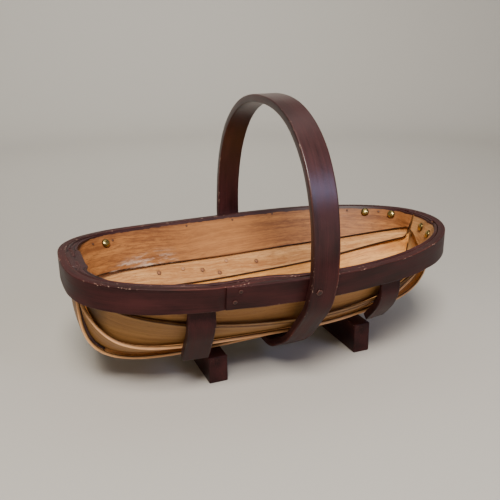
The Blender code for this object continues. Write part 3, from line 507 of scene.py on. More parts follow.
def centre_line(rim, across, count=BOARD_STATIONS):
    """A line along the centre board's underside, at a share of its half width from the middle."""
    share, height = centre_profile(count)
    y = across * (CENTRE_HALF_WIDTH + (CENTRE_END_HALF_WIDTH - CENTRE_HALF_WIDTH) * share ** 4)
    reach = np.where(share < 0, -rim.inner_x(y, -1), rim.inner_x(y, 1)) - CLEARANCE
    return np.stack([share * reach, y, height], 1)


class Boards:
    """The outer edges of every board on one side of the trug, at shares of the way along."""

    def __init__(self, rim, side):
        self.rim, self.side = rim, side
        self.sign = -1 if side == NEAR else 1
        lap_share = self.sign * (1 - CENTRE_LAP / CENTRE_HALF_WIDTH)
        line = centre_line(rim, lap_share, 4 * BOARD_STATIONS)
        inward = inward_normals(line, centre_line(rim, 0, 4 * BOARD_STATIONS))
        inward[:, 1] = 0
        self.rest = line + unit(inward) * seat(centre_profile(4 * BOARD_STATIONS)[0])[:, None]
        self.reach = reach_along(self.rest)

    def third(self, share):
        """It rests on the centre board's edge, and at its ends it keeps its own width."""
        upper = seam_lane(self.rim, self.side, "third", share)
        ends = np.array(BOARD_ENDS[self.side, "third"])
        low_ends = seam_lane(self.rim, self.side, "third", ends)[:, 2] - THIRD_END_WIDTH
        middle = len(self.reach) // 2
        parts = slice(middle, None, -1), slice(middle, None)
        halves = [(self.rest[part], self.reach[part]) for part in parts]
        ends_reach = [np.interp(low, rest[:, 2], reach) for low, (rest, reach) in zip(low_ends, halves)]
        lower = read_off(np.interp(share, ends, ends_reach), self.reach, self.rest)
        height = upper[:, 2] - THIRD_END_WIDTH
        from_left, from_right = [
            end * (self.rim.inner_x(0, end) - np.interp(height, rest[:, 2], rest[:, 0]))
            for end, (rest, _) in zip((-1, 1), halves)]
        along = end_share(self.side, "third", share)
        drop = eased(along, *SEAM_DROPS[self.side, "third"]) + THIRD_END_WIDTH
        inset = RIM_THICKNESS + np.where(share < 0, from_left, from_right)
        below = self.rim.place(self.rim.distance(self.side, share), inset, drop)
        return upper, lower + (below - lower) * smooth_step(np.abs(along), *THIRD_END_BLEND)[:, None]

    def second(self, share):
        """It goes down inside the third board's seam by its lap."""
        upper = seam_lane(self.rim, self.side, "second", share)
        lap = eased(end_share(self.side, "second", share), *SEAM_LAPS[self.side, "second"])
        return upper, rest_on(upper, *self.third(share), lap, share)

    def side_board(self, share):
        """It goes down inside the second board's seam by its lap, less at the near one's right end."""
        lap = eased(share, *SEAM_LAPS[self.side, "side"])
        if self.side == NEAR:
            lap = lap - NEAR_END_RISE * smooth_step(share, *NEAR_END_SLANT)
        upper = top_lane(self.rim, self.side, share)
        return upper, rest_on(upper, *self.second(share), lap, share)


def outermost(edge, x, width, slant):
    """The y and z of a seam's furthest place outward and downward within a strip's width."""
    beside = edge[np.abs(edge[:, 0] - x) < width / 2 + RIB_MARGIN]
    return np.max(np.abs(beside[:, 1]) - slant * (beside[:, 0] - x)), np.min(beside[:, 2])


def rib_profile(rim, boards, x, width, end_height, slant):
    """The inside of a rib, from its top behind the rim down over the boards' edges, as y and z."""
    share = np.linspace(-0.8, 0.8, 8 * BOARD_STATIONS)
    side_y, side_z = outermost(boards.second(share)[0], x, width, slant)
    low_y, low_z = outermost(boards.third(share)[0], x, width, slant)
    side_y, low_y = side_y + RIB_STAND_OFF, low_y + RIB_STAND_OFF
    push = lap_step(x + RIB_LAP_SHARE * width) if boards.side == NEAR and x < 0 else 0
    behind = (RIM_THICKNESS + RIB_CLEARANCE) * math.hypot(1, slant) + push + RIB_TOP_THICKNESS
    beside = np.linspace(-width / 2, width / 2, 9)
    inside = np.min(leaning_width(rim, x + beside) - slant * beside)
    rim_edge = (inside - behind, rim.top(x) - RIM_HEIGHT)
    lean = np.min(rim.flare(x + beside)) / RIM_HEIGHT
    top = np.add(rim_edge, (lean * RIB_TUCK, RIB_TUCK))
    end_y = low_y + (low_y - side_y) / (low_z - side_z) * (end_height - low_z)
    corners = [top, rim_edge, (side_y, side_z), (end_y, end_height)]
    return rounded_path(corners, [RIB_TOP_BEND_RADIUS, RIB_BEND_RADIUS], HOOP_SPACING / 2)


def leaning_width(rim, x):
    """How far from the middle the outside of the hoop's lower edge is at x."""
    return rim.half_width(x) - rim.flare(x)


def rounded_section(radius):
    """A strip's section with four quarter-round corners, as (share of width, offset, share of thickness,
    offset, closeness to a corner) for each point: down the outer face, along the lower edge, up the inner
    face and back along the upper edge."""
    near_corner = [(radius, 1), (radius + 0.3 * EDGE_BAND, 0.5), (radius + EDGE_BAND, 0)]
    face = [(0, away, edge) for away, edge in near_corner]
    face += [(share, 0, 0) for share in (0.2, 0.35, 0.5, 0.65, 0.8)]
    face += [(1, -away, edge) for away, edge in reversed(near_corner)]
    half = [(share, away, 0, 0, edge) for share, away, edge in face]
    turns = np.radians((30, 60))
    half += [(1, radius * (math.sin(a) - 1), 0, radius * (1 - math.cos(a)), 1) for a in turns]
    half += [(1, 0, 0, radius, 1), (1, 0, 0.5, 0, 0.6), (1, 0, 1, -radius, 1)]
    half += [(1, radius * (math.cos(a) - 1), 1, radius * (math.sin(a) - 1), 1) for a in turns]
    half = np.array(half)
    return np.vstack([half, half * (-1, -1, -1, -1, 1) + (1, 0, 1, 0, 0)])


def end_rounding(reach, radius):
    """How far a strip's faces draw in towards its two ends, along a quarter circle."""
    away = np.clip(np.minimum(reach, reach[-1] - reach), 0, radius)
    return radius - np.sqrt(np.maximum(radius ** 2 - (radius - away) ** 2, 0))


def stations(length, step, radius):
    """Places along a strip: even steps, with three more inside each rounded end."""
    inner = np.linspace(radius, length - radius, max(2, int(length / step)))
    start = radius * np.array([0, 0.13, 0.5])
    return np.concatenate([start, inner, length - start[::-1]])


def sweep(base, across, width, depth, thickness, radius, round_ends=True):
    """A strip's surface: from a line of corners, out across its width and through its thickness.

    Each ring is the rounded section laid out from base along across (width) and depth (thickness). It also
    gives the marks that the materials read."""
    share_w, off_w, share_t, off_t, edge = rounded_section(radius).T
    across, depth = [np.broadcast_to(way, base.shape)[:, None] for way in (across, depth)]
    width, thickness = [np.broadcast_to(size, len(base))[:, None] for size in (width, thickness)]
    reach = reach_along(base)
    inset = (end_rounding(reach, radius) if round_ends else np.zeros(len(base)))[:, None]
    down = share_w * (width - 2 * inset) + off_w + inset
    through = share_t * (thickness - 2 * inset) + off_t + inset
    rings = base[:, None] + across * down[..., None] + depth * through[..., None]
    grain = np.stack([np.broadcast_to(reach[:, None], down.shape), down, through], -1)
    return rings, {"grain": grain, "edge": np.broadcast_to(edge, down.shape), "inside": through / thickness}


def faces_outward(rings):
    """Whether the corners of the middle ring run anticlockwise, seen from the next ring's side: then the
    faces between the rings look outward."""
    ring, following = rings[len(rings) // 2 :][:2]
    area = np.sum(np.cross(ring, np.roll(ring, -1, axis=0)), axis=0)
    return area @ (following.mean(0) - ring.mean(0)) > 0


def placed(name, data):
    """An object at the scene's origin."""
    made = bpy.data.objects.new(name, data)
    bpy.context.scene.collection.objects.link(made)
    return made


def ring_mesh(name, rings, caps, finish, flipped=False):
    """A smooth mesh whose faces join each ring of corners to the next, with flat caps on some rings."""
    count, corners = rings.shape[:2]
    k, j = np.meshgrid(np.arange(count - 1) * corners, np.arange(corners), indexing="ij")
    following = (j + 1) % corners
    quads = np.stack([k + j, k + following, k + corners + following, k + corners + j], -1).reshape(-1, 4)
    if flipped:
        quads = quads[:, ::-1]
    mesh = bpy.data.meshes.new(name)
    mesh.from_pydata(rings.reshape(-1, 3).tolist(), [], quads.tolist() + caps)
    mesh.polygons.foreach_set("use_smooth", [True] * len(quads) + [False] * len(caps))
    mesh.materials.append(finish)
    return placed(name, mesh)


def skin(name, rings, marks, finish, replaced=()):
    """A closed piece through rings of corners, its two ends capped, with each mark's value at each corner."""
    if not faces_outward(rings):
        rings = rings[:, ::-1]
        marks = {key: value[:, ::-1] for key, value in marks.items()}
    count, corners = rings.shape[:2]
    caps = [tuple(range(corners - 1, -1, -1)), tuple(range((count - 1) * corners, count * corners))]
    piece = ring_mesh(name, rings, caps, finish)
    for key, value in marks.items():
        kind, slot = ("FLOAT_VECTOR", "vector") if value.ndim == 3 else ("FLOAT", "value")
        piece.data.attributes.new(key, kind, "POINT").data.foreach_set(slot, value.reshape(-1))
    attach(piece, "root")
    if replaced:
        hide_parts(*replaced)


def ripple(reach, size, length, seed):
    """A gentle unevenness of this size along a piece: three sine waves, the first of this length and each
    shorter and smaller than the one before."""
    phase = seed * np.array([1.7, 4.1, 9.3])
    waves = np.array([length, 0.43 * length, 0.19 * length])
    parts = np.sin(np.asarray(reach)[..., None] / waves * math.tau + phase)
    return size * parts @ np.array([0.6, 0.3, 0.1])


def shaving(reach, size, length, seed):
    """How much was shaved off along a piece, which ripples between nothing and twice this size."""
    return size + ripple(reach, size, length, seed)


def below_top(rim, rings):
    """How far below the top of the rim each corner is."""
    return rim.top(rings[..., 0]) - rings[..., 2]


def rim_hoop(rim, finish):
    """The rim: its section carried round the oval, its shaved outer end lapped over its inner one."""
    length = rim.length + LAP_INNER_END - LAP_OUTER_END
    distances = LAP_OUTER_END + stations(length, RIM_STEP, RIM_ROUNDING)
    near_end = distances > rim.length / 2
    beyond = distances - rim.length
    outer = np.where(near_end, lap_step(beyond), 0)
    thickness = np.where(near_end, rim_thickness(beyond) - outer, lap_thickness(distances))
    base = rim.place(distances, outer, 0)
    lean = rim.flare(base[:, 0]) / RIM_HEIGHT
    depth = unit((rim.place(distances, outer + 1 * MM, 0) - base) * (1, 1, 0))
    across = depth * lean[:, None] + DOWN
    base = base + depth * ripple(distances, *RIM_FACE_RIPPLE)[:, None].clip(0)
    base[:, 2] -= shaving(distances, *RIM_TOP_RIPPLE)
    width = RIM_HEIGHT - RIM_SHAVED + ripple(distances, *RIM_WIDTH_RIPPLE)
    radius = min(RIM_ROUNDING, 0.45 * LAP_EDGE_THICKNESS)
    skin("rim", *sweep(base, across, width, depth, thickness, radius), finish, ["rim_hoop"])


def handle_hoop(rim, finish):
    """The handle: its section carried up one side, over the top and down the other, closed under the
    boards."""
    half = handle_half_profile(rim)
    half[:, 0] = np.maximum(half[:, 0], 0)
    loop = np.vstack([half, (half * (-1, 1))[-2:0:-1], half[:1]])
    length = reach_along(loop)[-1]
    loop = even_points(loop, int(length / HOOP_SPACING))
    ahead = np.gradient(loop, axis=0)
    ahead[0] = ahead[-1] = loop[1] - loop[-2]
    ahead = unit(ahead)
    reach = np.linspace(0, length, len(loop))
    lean = math.tan(HANDLE_LEAN)
    y, z = loop.T
    narrower = shaving(reach, *HANDLE_WIDTH_RIPPLE)
    base = np.stack([HANDLE_X - HANDLE_WIDTH / 2 + narrower + lean * (z - RIM_TOP), y, z], 1)
    depth = np.stack([-lean * ahead[:, 0], ahead[:, 1], -ahead[:, 0]], 1)
    thickness = HANDLE_THICKNESS - HANDLE_SHAVED + ripple(reach, *HANDLE_THICKNESS_RIPPLE)
    width = HANDLE_WIDTH - 2 * narrower
    swept = sweep(base, ALONG_X, width, depth, thickness, HANDLE_ROUNDING, round_ends=False)
    skin("handle", *swept, finish, ["handle_hoop"])


def plank(rim, boards, board, finish, name, nails=()):
    """A board between its top and bottom edges, with its thickness inward."""
    edges = {"third": boards.third, "second": boards.second, "side": boards.side_board}[board]
    left, right = BOARD_ENDS[boards.side, board]
    length = (right - left) * RIM_LENGTH / 2 * BOARD_ARC
    share = left + (right - left) * stations(length, BOARD_STEP, BOARD_ROUNDING) / length
    upper, lower = edges(share)
    normals = inward_normals(upper, lower)
    across = unit(lower - upper)
    width = np.linalg.norm(lower - upper, axis=1)
    if board != "side":
        uneven = ripple(reach_along(upper), *BOARD_RIPPLE, len(name)) + BOARD_SHAVED
        upper = upper + across * uneven[:, None]
        width = width - uneven
    rings, marks = sweep(upper, across, width, normals, board_thickness(share), BOARD_ROUNDING)
    marks["below_top"] = below_top(rim, rings)
    marks["stain"] = stain_round(rings, nails)
    skin(name, rings, marks, finish, [name])


def stain_round(rings, nails):
    """A dark ring in the wood round each nail, fading over a few millimetres."""
    stain = np.zeros(rings.shape[:2])
    for nail in nails:
        low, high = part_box(nail)
        away = np.linalg.norm(rings - np.array((low + high) / 2), axis=-1)
        stain = np.maximum(stain, np.exp(-((away / STAIN_REACH) ** 2)))
    return stain


def centre_board(rim, finish):
    """The bottom board: the section's points each follow the board's own bent line at their place across
    it."""
    share, _ = centre_profile(CENTRE_STEPS)
    thickness = board_thickness(share)[:, None]
    sides = [centre_line(rim, a, CENTRE_STEPS) for a in (-1, 1)]
    normals = inward_normals(*sides)
    normals[:, 1] = 0
    normals = unit(normals)
    share_w, off_w, share_t, off_t, edge = rounded_section(BOARD_ROUNDING).T
    place = 2 * (share_w + off_w / (2 * CENTRE_HALF_WIDTH)) - 1
    lines = np.stack([centre_line(rim, a, CENTRE_STEPS) for a in place], 1)
    through = share_t * thickness + off_t
    rings = lines + normals[:, None] * through[..., None]
    along = np.broadcast_to(reach_along((sides[0] + sides[1]) / 2)[:, None], through.shape)
    marks = {"grain": np.stack([along, lines[..., 1], through], -1),
             "edge": np.broadcast_to(edge, through.shape), "inside": through / thickness,
             "below_top": below_top(rim, rings), "stain": np.zeros(through.shape)}
    skin("centre_board_wood", rings, marks, finish, ["centre_board"])


def end_packing(rim, finish):
    """The paint that has filled the gaps between the rim and the boards' ends round the left end."""
    shares = np.linspace(PACKING_START, 1, PACKING_POINTS)
    lanes = []
    for side, part in ((NEAR, -shares), (FAR, -shares[::-1])):
        distance = rim.distance(side, part)
        outer = rim.place(distance, RIM_THICKNESS - PACKING_OVERLAP, PACKING_DROP)
        board = top_lane(rim, side, part) - rim.place(distance, 0, BOARD_TOP_DROP)
        inset = np.linalg.norm(board[:, :2], axis=1)
        ledge = PACKING_LEDGE * smooth_step(np.abs(part), *PACKING_LEDGE_RAMP)
        reach = inset + board_thickness(part) + PACKING_OVERLAP + ledge
        lanes.append((outer, rim.place(distance, reach, PACKING_DROP)))
    outer, inner = [np.vstack([near, far[1:]]) for near, far in zip(*lanes)]
    width = np.linalg.norm(inner - outer, axis=1) + ripple(reach_along(outer), *PACKING_RIPPLE)
    swept = sweep(outer, unit(inner - outer), width, DOWN, PACKING_THICKNESS, PACKING_ROUNDING)
    skin("paint_packing", *swept, finish)


def shade_strip_in_bend(rim, side, finish):
    """A dark strip of painted shade between the centre board and a third board's end, in the bend of the left
    end.
    """
    share, height = centre_profile(CENTRE_STEPS)
    turn = -1 if side == NEAR else 1
    inner, outer = [centre_line(rim, turn * a, CENTRE_STEPS) for a in SHADE_STRIP_LANE]
    normals = inward_normals(inner, outer) if side == FAR else inward_normals(outer, inner)
    base = inner + normals * (board_thickness(share)[:, None] - SHADE_STRIP_OVERLAP)
    bend = (share < 0) & (height > SHADE_STRIP_BOTTOM) & (height < SHADE_STRIP_TOP)
    across = (outer - inner)[bend]
    full = smooth_step(height[bend], SHADE_STRIP_BOTTOM, SHADE_STRIP_FULL)
    width = np.linalg.norm(across, axis=1) * (SHADE_STRIP_END_SHARE + (1 - SHADE_STRIP_END_SHARE) * full)
    swept = sweep(base[bend], unit(across), width, normals[bend], SHADE_STRIP_THICKNESS, PACKING_ROUNDING)
    skin("painted_shade_strip_%s" % side, *swept, finish)


def rib(rim, boards, end, finish):
    """A rib: its section carried down over the boards' edges, thin where it goes behind the rim."""
    x, width, end_height = RIBS[end]
    slant = (leaning_width(rim, x + width / 2) - leaning_width(rim, x - width / 2)) / width
    path = rib_profile(rim, boards, x, width, end_height, slant)
    length = reach_along(path)[-1]
    fine = even_points(path, RIB_POINTS)
    wanted = stations(length, RIB_STEP, RIB_ROUNDING)
    known = np.linspace(0, length, RIB_POINTS)
    y, z = read_off(wanted, known, fine).T
    ahead = unit(read_off(wanted, known, unit(np.gradient(fine, axis=0))))
    thickness = RIB_TOP_THICKNESS + (RIB_THICKNESS - RIB_TOP_THICKNESS) * smooth_step(
        wanted, RIB_TUCK, RIB_TUCK + RIB_SHAVED_LENGTH)
    sign = boards.sign
    narrower = shaving(wanted, *RIB_RIPPLE, x * 900 + sign)
    base = np.stack([x - width / 2 + narrower, sign * (y - slant * (width / 2 - narrower)), z], 1)
    depth = np.stack([np.zeros(len(y)), -sign * ahead[:, 1], ahead[:, 0]], 1)
    across = (1.0, sign * slant, 0.0)
    node = "rib_%s_%s" % (boards.side, end)
    swept = sweep(base, across, width - 2 * narrower, depth, thickness, RIB_ROUNDING)
    skin(node + "_strip", *swept, finish, [node])


def foot(rim, end, finish):
    """A foot: a block's rounded section carried across the trug."""
    x, width = FEET[end]
    height = underside(rim, x, width) - CLEARANCE
    y = stations(FOOT_LENGTH, FOOT_STEP, FOOT_ROUNDING) - FOOT_LENGTH / 2
    base = np.stack([np.full(len(y), x - width / 2), y, np.full(len(y), height)], 1)
    swept = sweep(base, ALONG_X, width, DOWN, height, FOOT_ROUNDING)
    skin("foot_%s_block" % end, *swept, finish, ["foot_" + end])


def nail_axis(node):
    """Where a CAD nail's head sits and which way it points: its axis is the direction in which its corners
    spread differently from the other two, and its head is where it is widest."""
    points = np.unique(np.round([tuple(v.co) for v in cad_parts[node].data.vertices], 7), axis=0)
    middle = points.mean(0)
    spreads, axes = np.linalg.eigh(np.cov((points - middle).T))
    axis = axes[:, 0] if spreads[1] - spreads[0] > spreads[2] - spreads[1] else axes[:, 2]
    along = (points - middle) @ axis
    wide = np.linalg.norm(points - middle - along[:, None] * axis, axis=1)
    if np.sum(along * wide) < 0:
        axis, along = -axis, -along
    radius = wide.max()
    head = along[wide > 0.98 * radius].min()
    return middle + axis * head, axis, radius, along.max() - head, head - along.min()


def nail(node, finish, lip, domed=1.0, dent=0.0):
    """A nail turned about its axis: shank, flat under-head, thin lip and a crown that is part of a circle. A
    dented crown is lower in two places, by a sine of twice the angle round it."""
    seat_point, axis, radius, crown, length = nail_axis(node)
    shank = NAIL_SHANK * radius
    crown = lip + domed * (crown - lip)
    turn = np.linspace(0, NAIL_CROWN_TURN, NAIL_CROWN_POINTS)
    profile = [(shank, -length), (shank, -NAIL_NECK), (radius - NAIL_BEVEL[0], 0), (radius, NAIL_BEVEL[1])]
    profile += list(zip(radius * np.cos(turn), lip + (crown - lip) * np.sin(turn)))
    far, height = np.array(profile).T[..., None]
    side = unit(np.cross(axis, (0.31, 0.23, 0.92)))
    other = np.cross(axis, side)
    angle = np.linspace(0, math.tau, NAIL_SIDES, endpoint=False)
    dented = height - dent * crown * (height > lip) * (1 + np.sin(2 * angle + radius * NAIL_DENT_TURN)) / 2
    u, v = far * np.cos(angle), far * np.sin(angle)
    rings = seat_point + u[..., None] * side + v[..., None] * other + dented[..., None] * axis
    spread = np.broadcast_to(far / radius, dented.shape)
    skin(node + "_turned", rings, {"grain": np.stack([u, v, dented], -1), "edge": spread}, finish, [node])


def linear(colour):
    """An sRGB hex colour as linear red, green, blue and alpha."""
    values = [int(colour[k : k + 2], 16) / 255 for k in (1, 3, 5)]
    return [v / 12.92 if v <= 0.04045 else ((v + 0.055) / 1.055) ** 2.4 for v in values] + [1]


def node(tree, kind, inputs=None, output=0, stops=(), **settings):
    """Adds a shader node with its settings, its inputs' values or links and a ramp's stops; gives an
    output."""
    made = tree.nodes.new("ShaderNode" + kind)
    for key, value in settings.items():
        setattr(made, key, value)
    for key, value in (inputs or {}).items():
        if isinstance(value, bpy.types.NodeSocket):
            tree.links.new(value, made.inputs[key])
        else:
            made.inputs[key].default_value = linear(value) if isinstance(value, str) else value
    for k, (place, colour) in enumerate(stops):
        stop = made.color_ramp.elements[k] if k < 2 else made.color_ramp.elements.new(place)
        stop.position = place
        stop.color = linear(colour)
    return made.outputs[output]


def material(name, *marks):
    """A new material, its tree, its shader and the marks that it reads from the piece's attributes."""
    made = bpy.data.materials.new(name)
    made.use_nodes = True
    tree = made.node_tree
    read = [node(tree, "Attribute", output="Vector" if mark == "grain" else "Fac", attribute_name=mark)
            for mark in marks]
    return [made, tree, tree.nodes["Principled BSDF"]] + read


def connect(tree, shader, colour, rough, height, strength, depth):
    """Wires a surface's colour, roughness and relief to its shader."""
    tree.links.new(colour, shader.inputs["Base Color"])
    tree.links.new(rough, shader.inputs["Roughness"])
    relief = node(tree, "Bump", {"Height": height, "Strength": strength, "Distance": depth})
    tree.links.new(relief, shader.inputs["Normal"])


def pattern(tree, vector, sizes, detail=3.0, rough=0.5, seed=0.0):
    """Noise whose spots have these sizes in millimetres, along, across and through the piece."""
    moved = node(tree, "Mapping", {"Vector": vector, "Location": (seed, 0.37 * seed, 0.11 * seed),
                                   "Scale": tuple(1 / (size * MM) for size in sizes)})
    return node(tree, "TexNoise", {"Vector": moved, "Scale": 1.0, "Detail": detail, "Roughness": rough})


def held(tree, value, low, high, start=0.0, end=1.0, factor=1.0):
    """A value between low and high, made to run from start to end and held beyond them, times a factor."""
    run = node(tree, "MapRange", {"Value": value, "From Min": low, "From Max": high,
                                  "To Min": start, "To Max": end})
    return node(tree, "Math", {0: run, 1: factor}, operation="MULTIPLY")


def summed(tree, *parts):
    """The sum of values, each times its weight."""
    total = 0.0
    for value, weight in parts:
        total = node(tree, "Math", {0: value, 1: weight, 2: total}, operation="MULTIPLY_ADD")
    return total


def layered(tree, colour, *layers):
    """A colour with others laid over it in turn, each by its own amount."""
    for amount, over in layers:
        colour = node(tree, "Mix", {0: amount, 6: colour, 7: over}, 2, data_type="RGBA")
    return colour


def coordinate(tree, axis):
    """How far along the trug's own X, Y or Z a place is."""
    return node(tree, "SeparateXYZ", {0: node(tree, "TexCoord", output="Object")}, axis)


def near_place(tree, place, reach):
    """1 at a place on the trug, falling to 0 at this distance from it."""
    spot = node(tree, "TexCoord", output="Object")
    away = node(tree, "VectorMath", {0: spot, 1: place}, "Value", operation="DISTANCE")
    return held(tree, away, 0.25 * reach, reach, 1, 0)


def oil_paint(tree, grain, edge, scuffed=0.0):
    """Colour, roughness and height of old dark red-brown oil paint, brushed along the grain.

    Its brush lines are drawn 1.3 mm apart, coarser than real bristles', so that they show."""
    strokes = pattern(tree, grain, (140, 1.3, 1.3), 3.0, 0.55)
    fibres = pattern(tree, grain, (30, 0.5, 0.5), 2.0, 0.6, 3.0)
    cloudy = pattern(tree, grain, (55, 16, 16), 4.0, 0.55, 7.0)
    chips = pattern(tree, grain, (4, 1.5, 1.5), 4.0, 0.7, 11.0)
    rare = pattern(tree, grain, (40, 30, 30), 2.0, 0.5, 13.0)
    upward = node(tree, "SeparateXYZ", {0: node(tree, "NewGeometry", output="Normal")}, 2)
    base = node(tree, "ValToRGB", {0: summed(tree, (cloudy, 0.65), (strokes, 0.35))},
                stops=[(0.38, "#220E0E"), (0.62, "#3C1B1B")])
    # Dusted and given a painted grey sheen where it faces up: lighter and greyer on top faces.
    dust_and_sheen = held(tree, upward, 0.35, 0.97, factor=held(tree, cloudy, 0.2, 0.75, 0.1, 0.38))
    bare = held(tree, summed(tree, (chips, 1), (edge, 0.16), (rare, 0.3), (scuffed, 0.17)), 0.965, 0.99)
    rubbed = held(tree, summed(tree, (strokes, 1), (edge, 0.35), (rare, 0.4)), 1.05, 1.3, 0, 0.5)
    colour = layered(tree, base, (dust_and_sheen, "#4E3232"), (rubbed, "#6B3A30"), (bare, "#B59583"))
    rough = held(tree, summed(tree, (strokes, 0.5), (cloudy, 0.5), (dust_and_sheen, 0.3)), 0.35, 0.85, 0.38, 0.68)
    return colour, rough, summed(tree, (strokes, 0.7), (fibres, 0.35), (bare, -0.8))


def painted_ash(name, scuff=None, polished=False):
    """Oil paint brushed on bent ash: dark red-brown with strokes along the strip, a satin sheen, a dusty
    film and a painted grey sheen on what looks up, and rubbed and chipped edges. Where a nail was driven, it
    is scuffed as well, and hands have polished the arch of the handle."""
    made, tree, shader, grain, edge = material(name, "grain", "edge")
    scuffed = near_place(tree, scuff, NAIL_SCUFF_REACH) if scuff else 0.0
    connect(tree, shader, *oil_paint(tree, grain, edge, scuffed), 0.5, 0.25 * MM)
    shader.inputs["Specular IOR Level"].default_value = 0.16
    if polished:
        polish = held(tree, coordinate(tree, 2), *POLISHED_HEIGHTS, 0, 0.8)
        tree.links.new(polish, shader.inputs["Coat Weight"])
        shader.inputs["Coat Roughness"].default_value = 0.3
        tree.links.new(shader.inputs["Normal"].links[0].from_socket, shader.inputs["Coat Normal"])
    return made


def clogged_paint():
    """Oil paint that fills the gaps between the boards' ends: lumpy and matt, with holes left in it that are
    painted near black as painted shade.
    """
    made, tree, shader, grain = material("clogging_oil_paint", "grain")
    colour, rough, _ = oil_paint(tree, grain, 0.0)
    lumps = pattern(tree, grain, (7, 3, 3), 4.0, 0.6, 5.0)
    holes = pattern(tree, grain, (9, 1.7, 1.7), 3.0, 0.55, 21.0)
    flecks = pattern(tree, grain, (2.5, 1.6, 1.6), 3.0, 0.5, 33.0)
    # Painted shade: the holes are coloured near black for the shade inside them.
    dark = held(tree, holes, 0.64, 0.68)
    colour = layered(tree, colour, (held(tree, lumps, 0.3, 0.5, 0.35, 0), "#2A1413"),
                     (dark, "#0D0706"), (held(tree, flecks, 0.74, 0.77, 0, 0.7), "#B9A092"))
    rough = held(tree, rough, 0.2, 0.7, 0.5, 0.75)
    connect(tree, shader, colour, rough, summed(tree, (lumps, 1), (dark, -1.2)), 0.5, 1.1 * MM)
    return made


def willow(name, pale, middle, dark, seed, outside, *traits):
    """Shaved cricket-bat willow: straight growth lines, fine fibres, flecks, short pores and a faint ripple.

    The flecks are drawn about twice as coarse as real ones, so that they show. Inside it is warm and clean;
    outside it has darkened. Painted shade lies along its inner seams and its lower edge. Its cut outer edges
    are fresh wood with a painted highlight on the third and centre boards and dark with painted shade on
    the others, and paint from the rim laps over its top edge. Painted shade makes the second boards' outer
    faces almost black in the depth of the left end. The far side board is paler in a round patch around its
    middle, and smeared with chalk."""
    marks = "grain", "edge", "inside", "stain", "below_top"
    made, tree, shader, grain, edge, inside, stain, below = material(name, *marks)
    drift = pattern(tree, grain, (190, 40, 40), 1.5, 0.5, seed)
    shift = node(tree, "CombineXYZ", {1: held(tree, drift, 0, 1, 0, 34 * MM)})
    bent = node(tree, "VectorMath", {0: grain, 1: shift}, operation="ADD")
    growth = pattern(tree, bent, (300, 4, 4), 4.0, 0.65, seed + 2)
    fibres = pattern(tree, bent, (22, 0.45, 0.45), 4.0, 0.7, seed + 5)
    pores = pattern(tree, bent, (7, 0.5, 0.5), 2.0, 0.5, seed + 21)
    figure = pattern(tree, grain, (8, 22, 22), 3.0, 0.6, seed + 9)
    flecks = pattern(tree, bent, (15, 2.3, 2.3), 5.0, 0.75, seed + 17)
    clouds = pattern(tree, grain, (70, 16, 16), 4.0, 0.6, seed + 14)
    tone = summed(tree, (growth, 0.45), (clouds, 0.25), (flecks, 0.3))
    colour = node(tree, "ValToRGB", {0: tone}, stops=[(0.41, dark), (0.58, pale), (0.5, middle)])
    aged = node(tree, "ValToRGB", {0: tone}, stops=[(0.36, outside[1]), (0.62, outside[0])])
    outer = held(tree, inside, 0.2, 0.8, 1, 0)
    cut = held(tree, edge, 0.56, 0.72, factor=held(tree, fibres, 0.3, 0.6, 0.5, 0.95, outer))
    colour = layered(
        tree, colour,
        (held(tree, figure, 0.5, 0.75, 0, 0.12), pale),
        (held(tree, flecks, 0.48, 0.62, 0, 0.75), dark),
        (held(tree, flecks, 0.36, 0.5, 0.6, 0), pale),
        (held(tree, clouds, 0.3, 0.7, 0.7, 0.95, outer), aged),
        (held(tree, fibres, 0.35, 0.6, 0.45, 0), dark),
        (held(tree, pores, 0.62, 0.7, 0, 0.6), "#69401F"),
        # Outer cut edges: fresh wood with a painted highlight on the third and centre boards, painted shade
        # on the others, for the seam's shadow line.
        (cut, "#EBB07C" if "fresh_and_highlit_edge" in traits else "#4A2F1A"),
        # Painted shade along the inner seams, at the boards' inner corners.
        (held(tree, edge, 0.68, 0.88, 0, 0.95, held(tree, inside, 0.5, 0.95)), "#27150B"),
        (held(tree, stain, 0.1, 1, 0, 0.85), "#5C301B"))
    if "lapped" in traits:
        # Painted shade on the boards' lower edge faces, where they sit in the lap's gap.
        down = node(tree, "SeparateXYZ", {0: grain}, 1)
        between_faces = held(tree, inside, 0.05, 0.15, factor=held(tree, inside, 0.99, 0.95, 0, 0.85))
        colour = layered(tree, colour, (held(tree, down, 12 * MM, 16 * MM, 0, 1, between_faces), "#27150B"))
    if "painted_shade_end" in traits:
        # Painted shade: the second boards' outer faces darken almost to black towards the left end.
        second_board_shade = held(tree, coordinate(tree, 0), -196 * MM, -208 * MM, 0, 0.8, outer)
        colour = layered(tree, colour, (second_board_shade, "#24140A"))
    if "rubbed" in traits:
        # Paler in a round patch around the middle of the far side board.
        worn = near_place(tree, PALE_PATCH_PLACE, PALE_PATCH_REACH)
        colour = layered(tree, colour, (held(tree, worn, 0, 1, 0, 0.38), pale))
        colour = chalk_smear(tree, colour, grain)
    ragged = pattern(tree, grain, (14, 5, 5), 3.0, 0.6, seed + 30)
    line = summed(tree, (below, 1), (ragged, -3.6 * MM))
    painted = held(tree, line, 0.2 * MM, 0.6 * MM, 1, 0)
    dirt = held(tree, line, 0.5 * MM, 6 * MM, 0.4, 0)
    paint, paint_rough, paint_height = oil_paint(tree, grain, edge)
    colour = layered(tree, colour, (dirt, "#5A3620"), (painted, paint))
    rough = node(tree, "Mix", {0: painted, 2: held(tree, fibres, 0.3, 0.7, 0.46, 0.62), 3: paint_rough})
    height = summed(tree, (fibres, 0.8), (growth, 0.5), (pores, -0.4))
    height = node(tree, "Mix", {0: painted, 2: height, 3: paint_height})
    connect(tree, shader, colour, rough, height, 0.4, 0.3 * MM)
    shader.inputs["Specular IOR Level"].default_value = 0.3
    return made


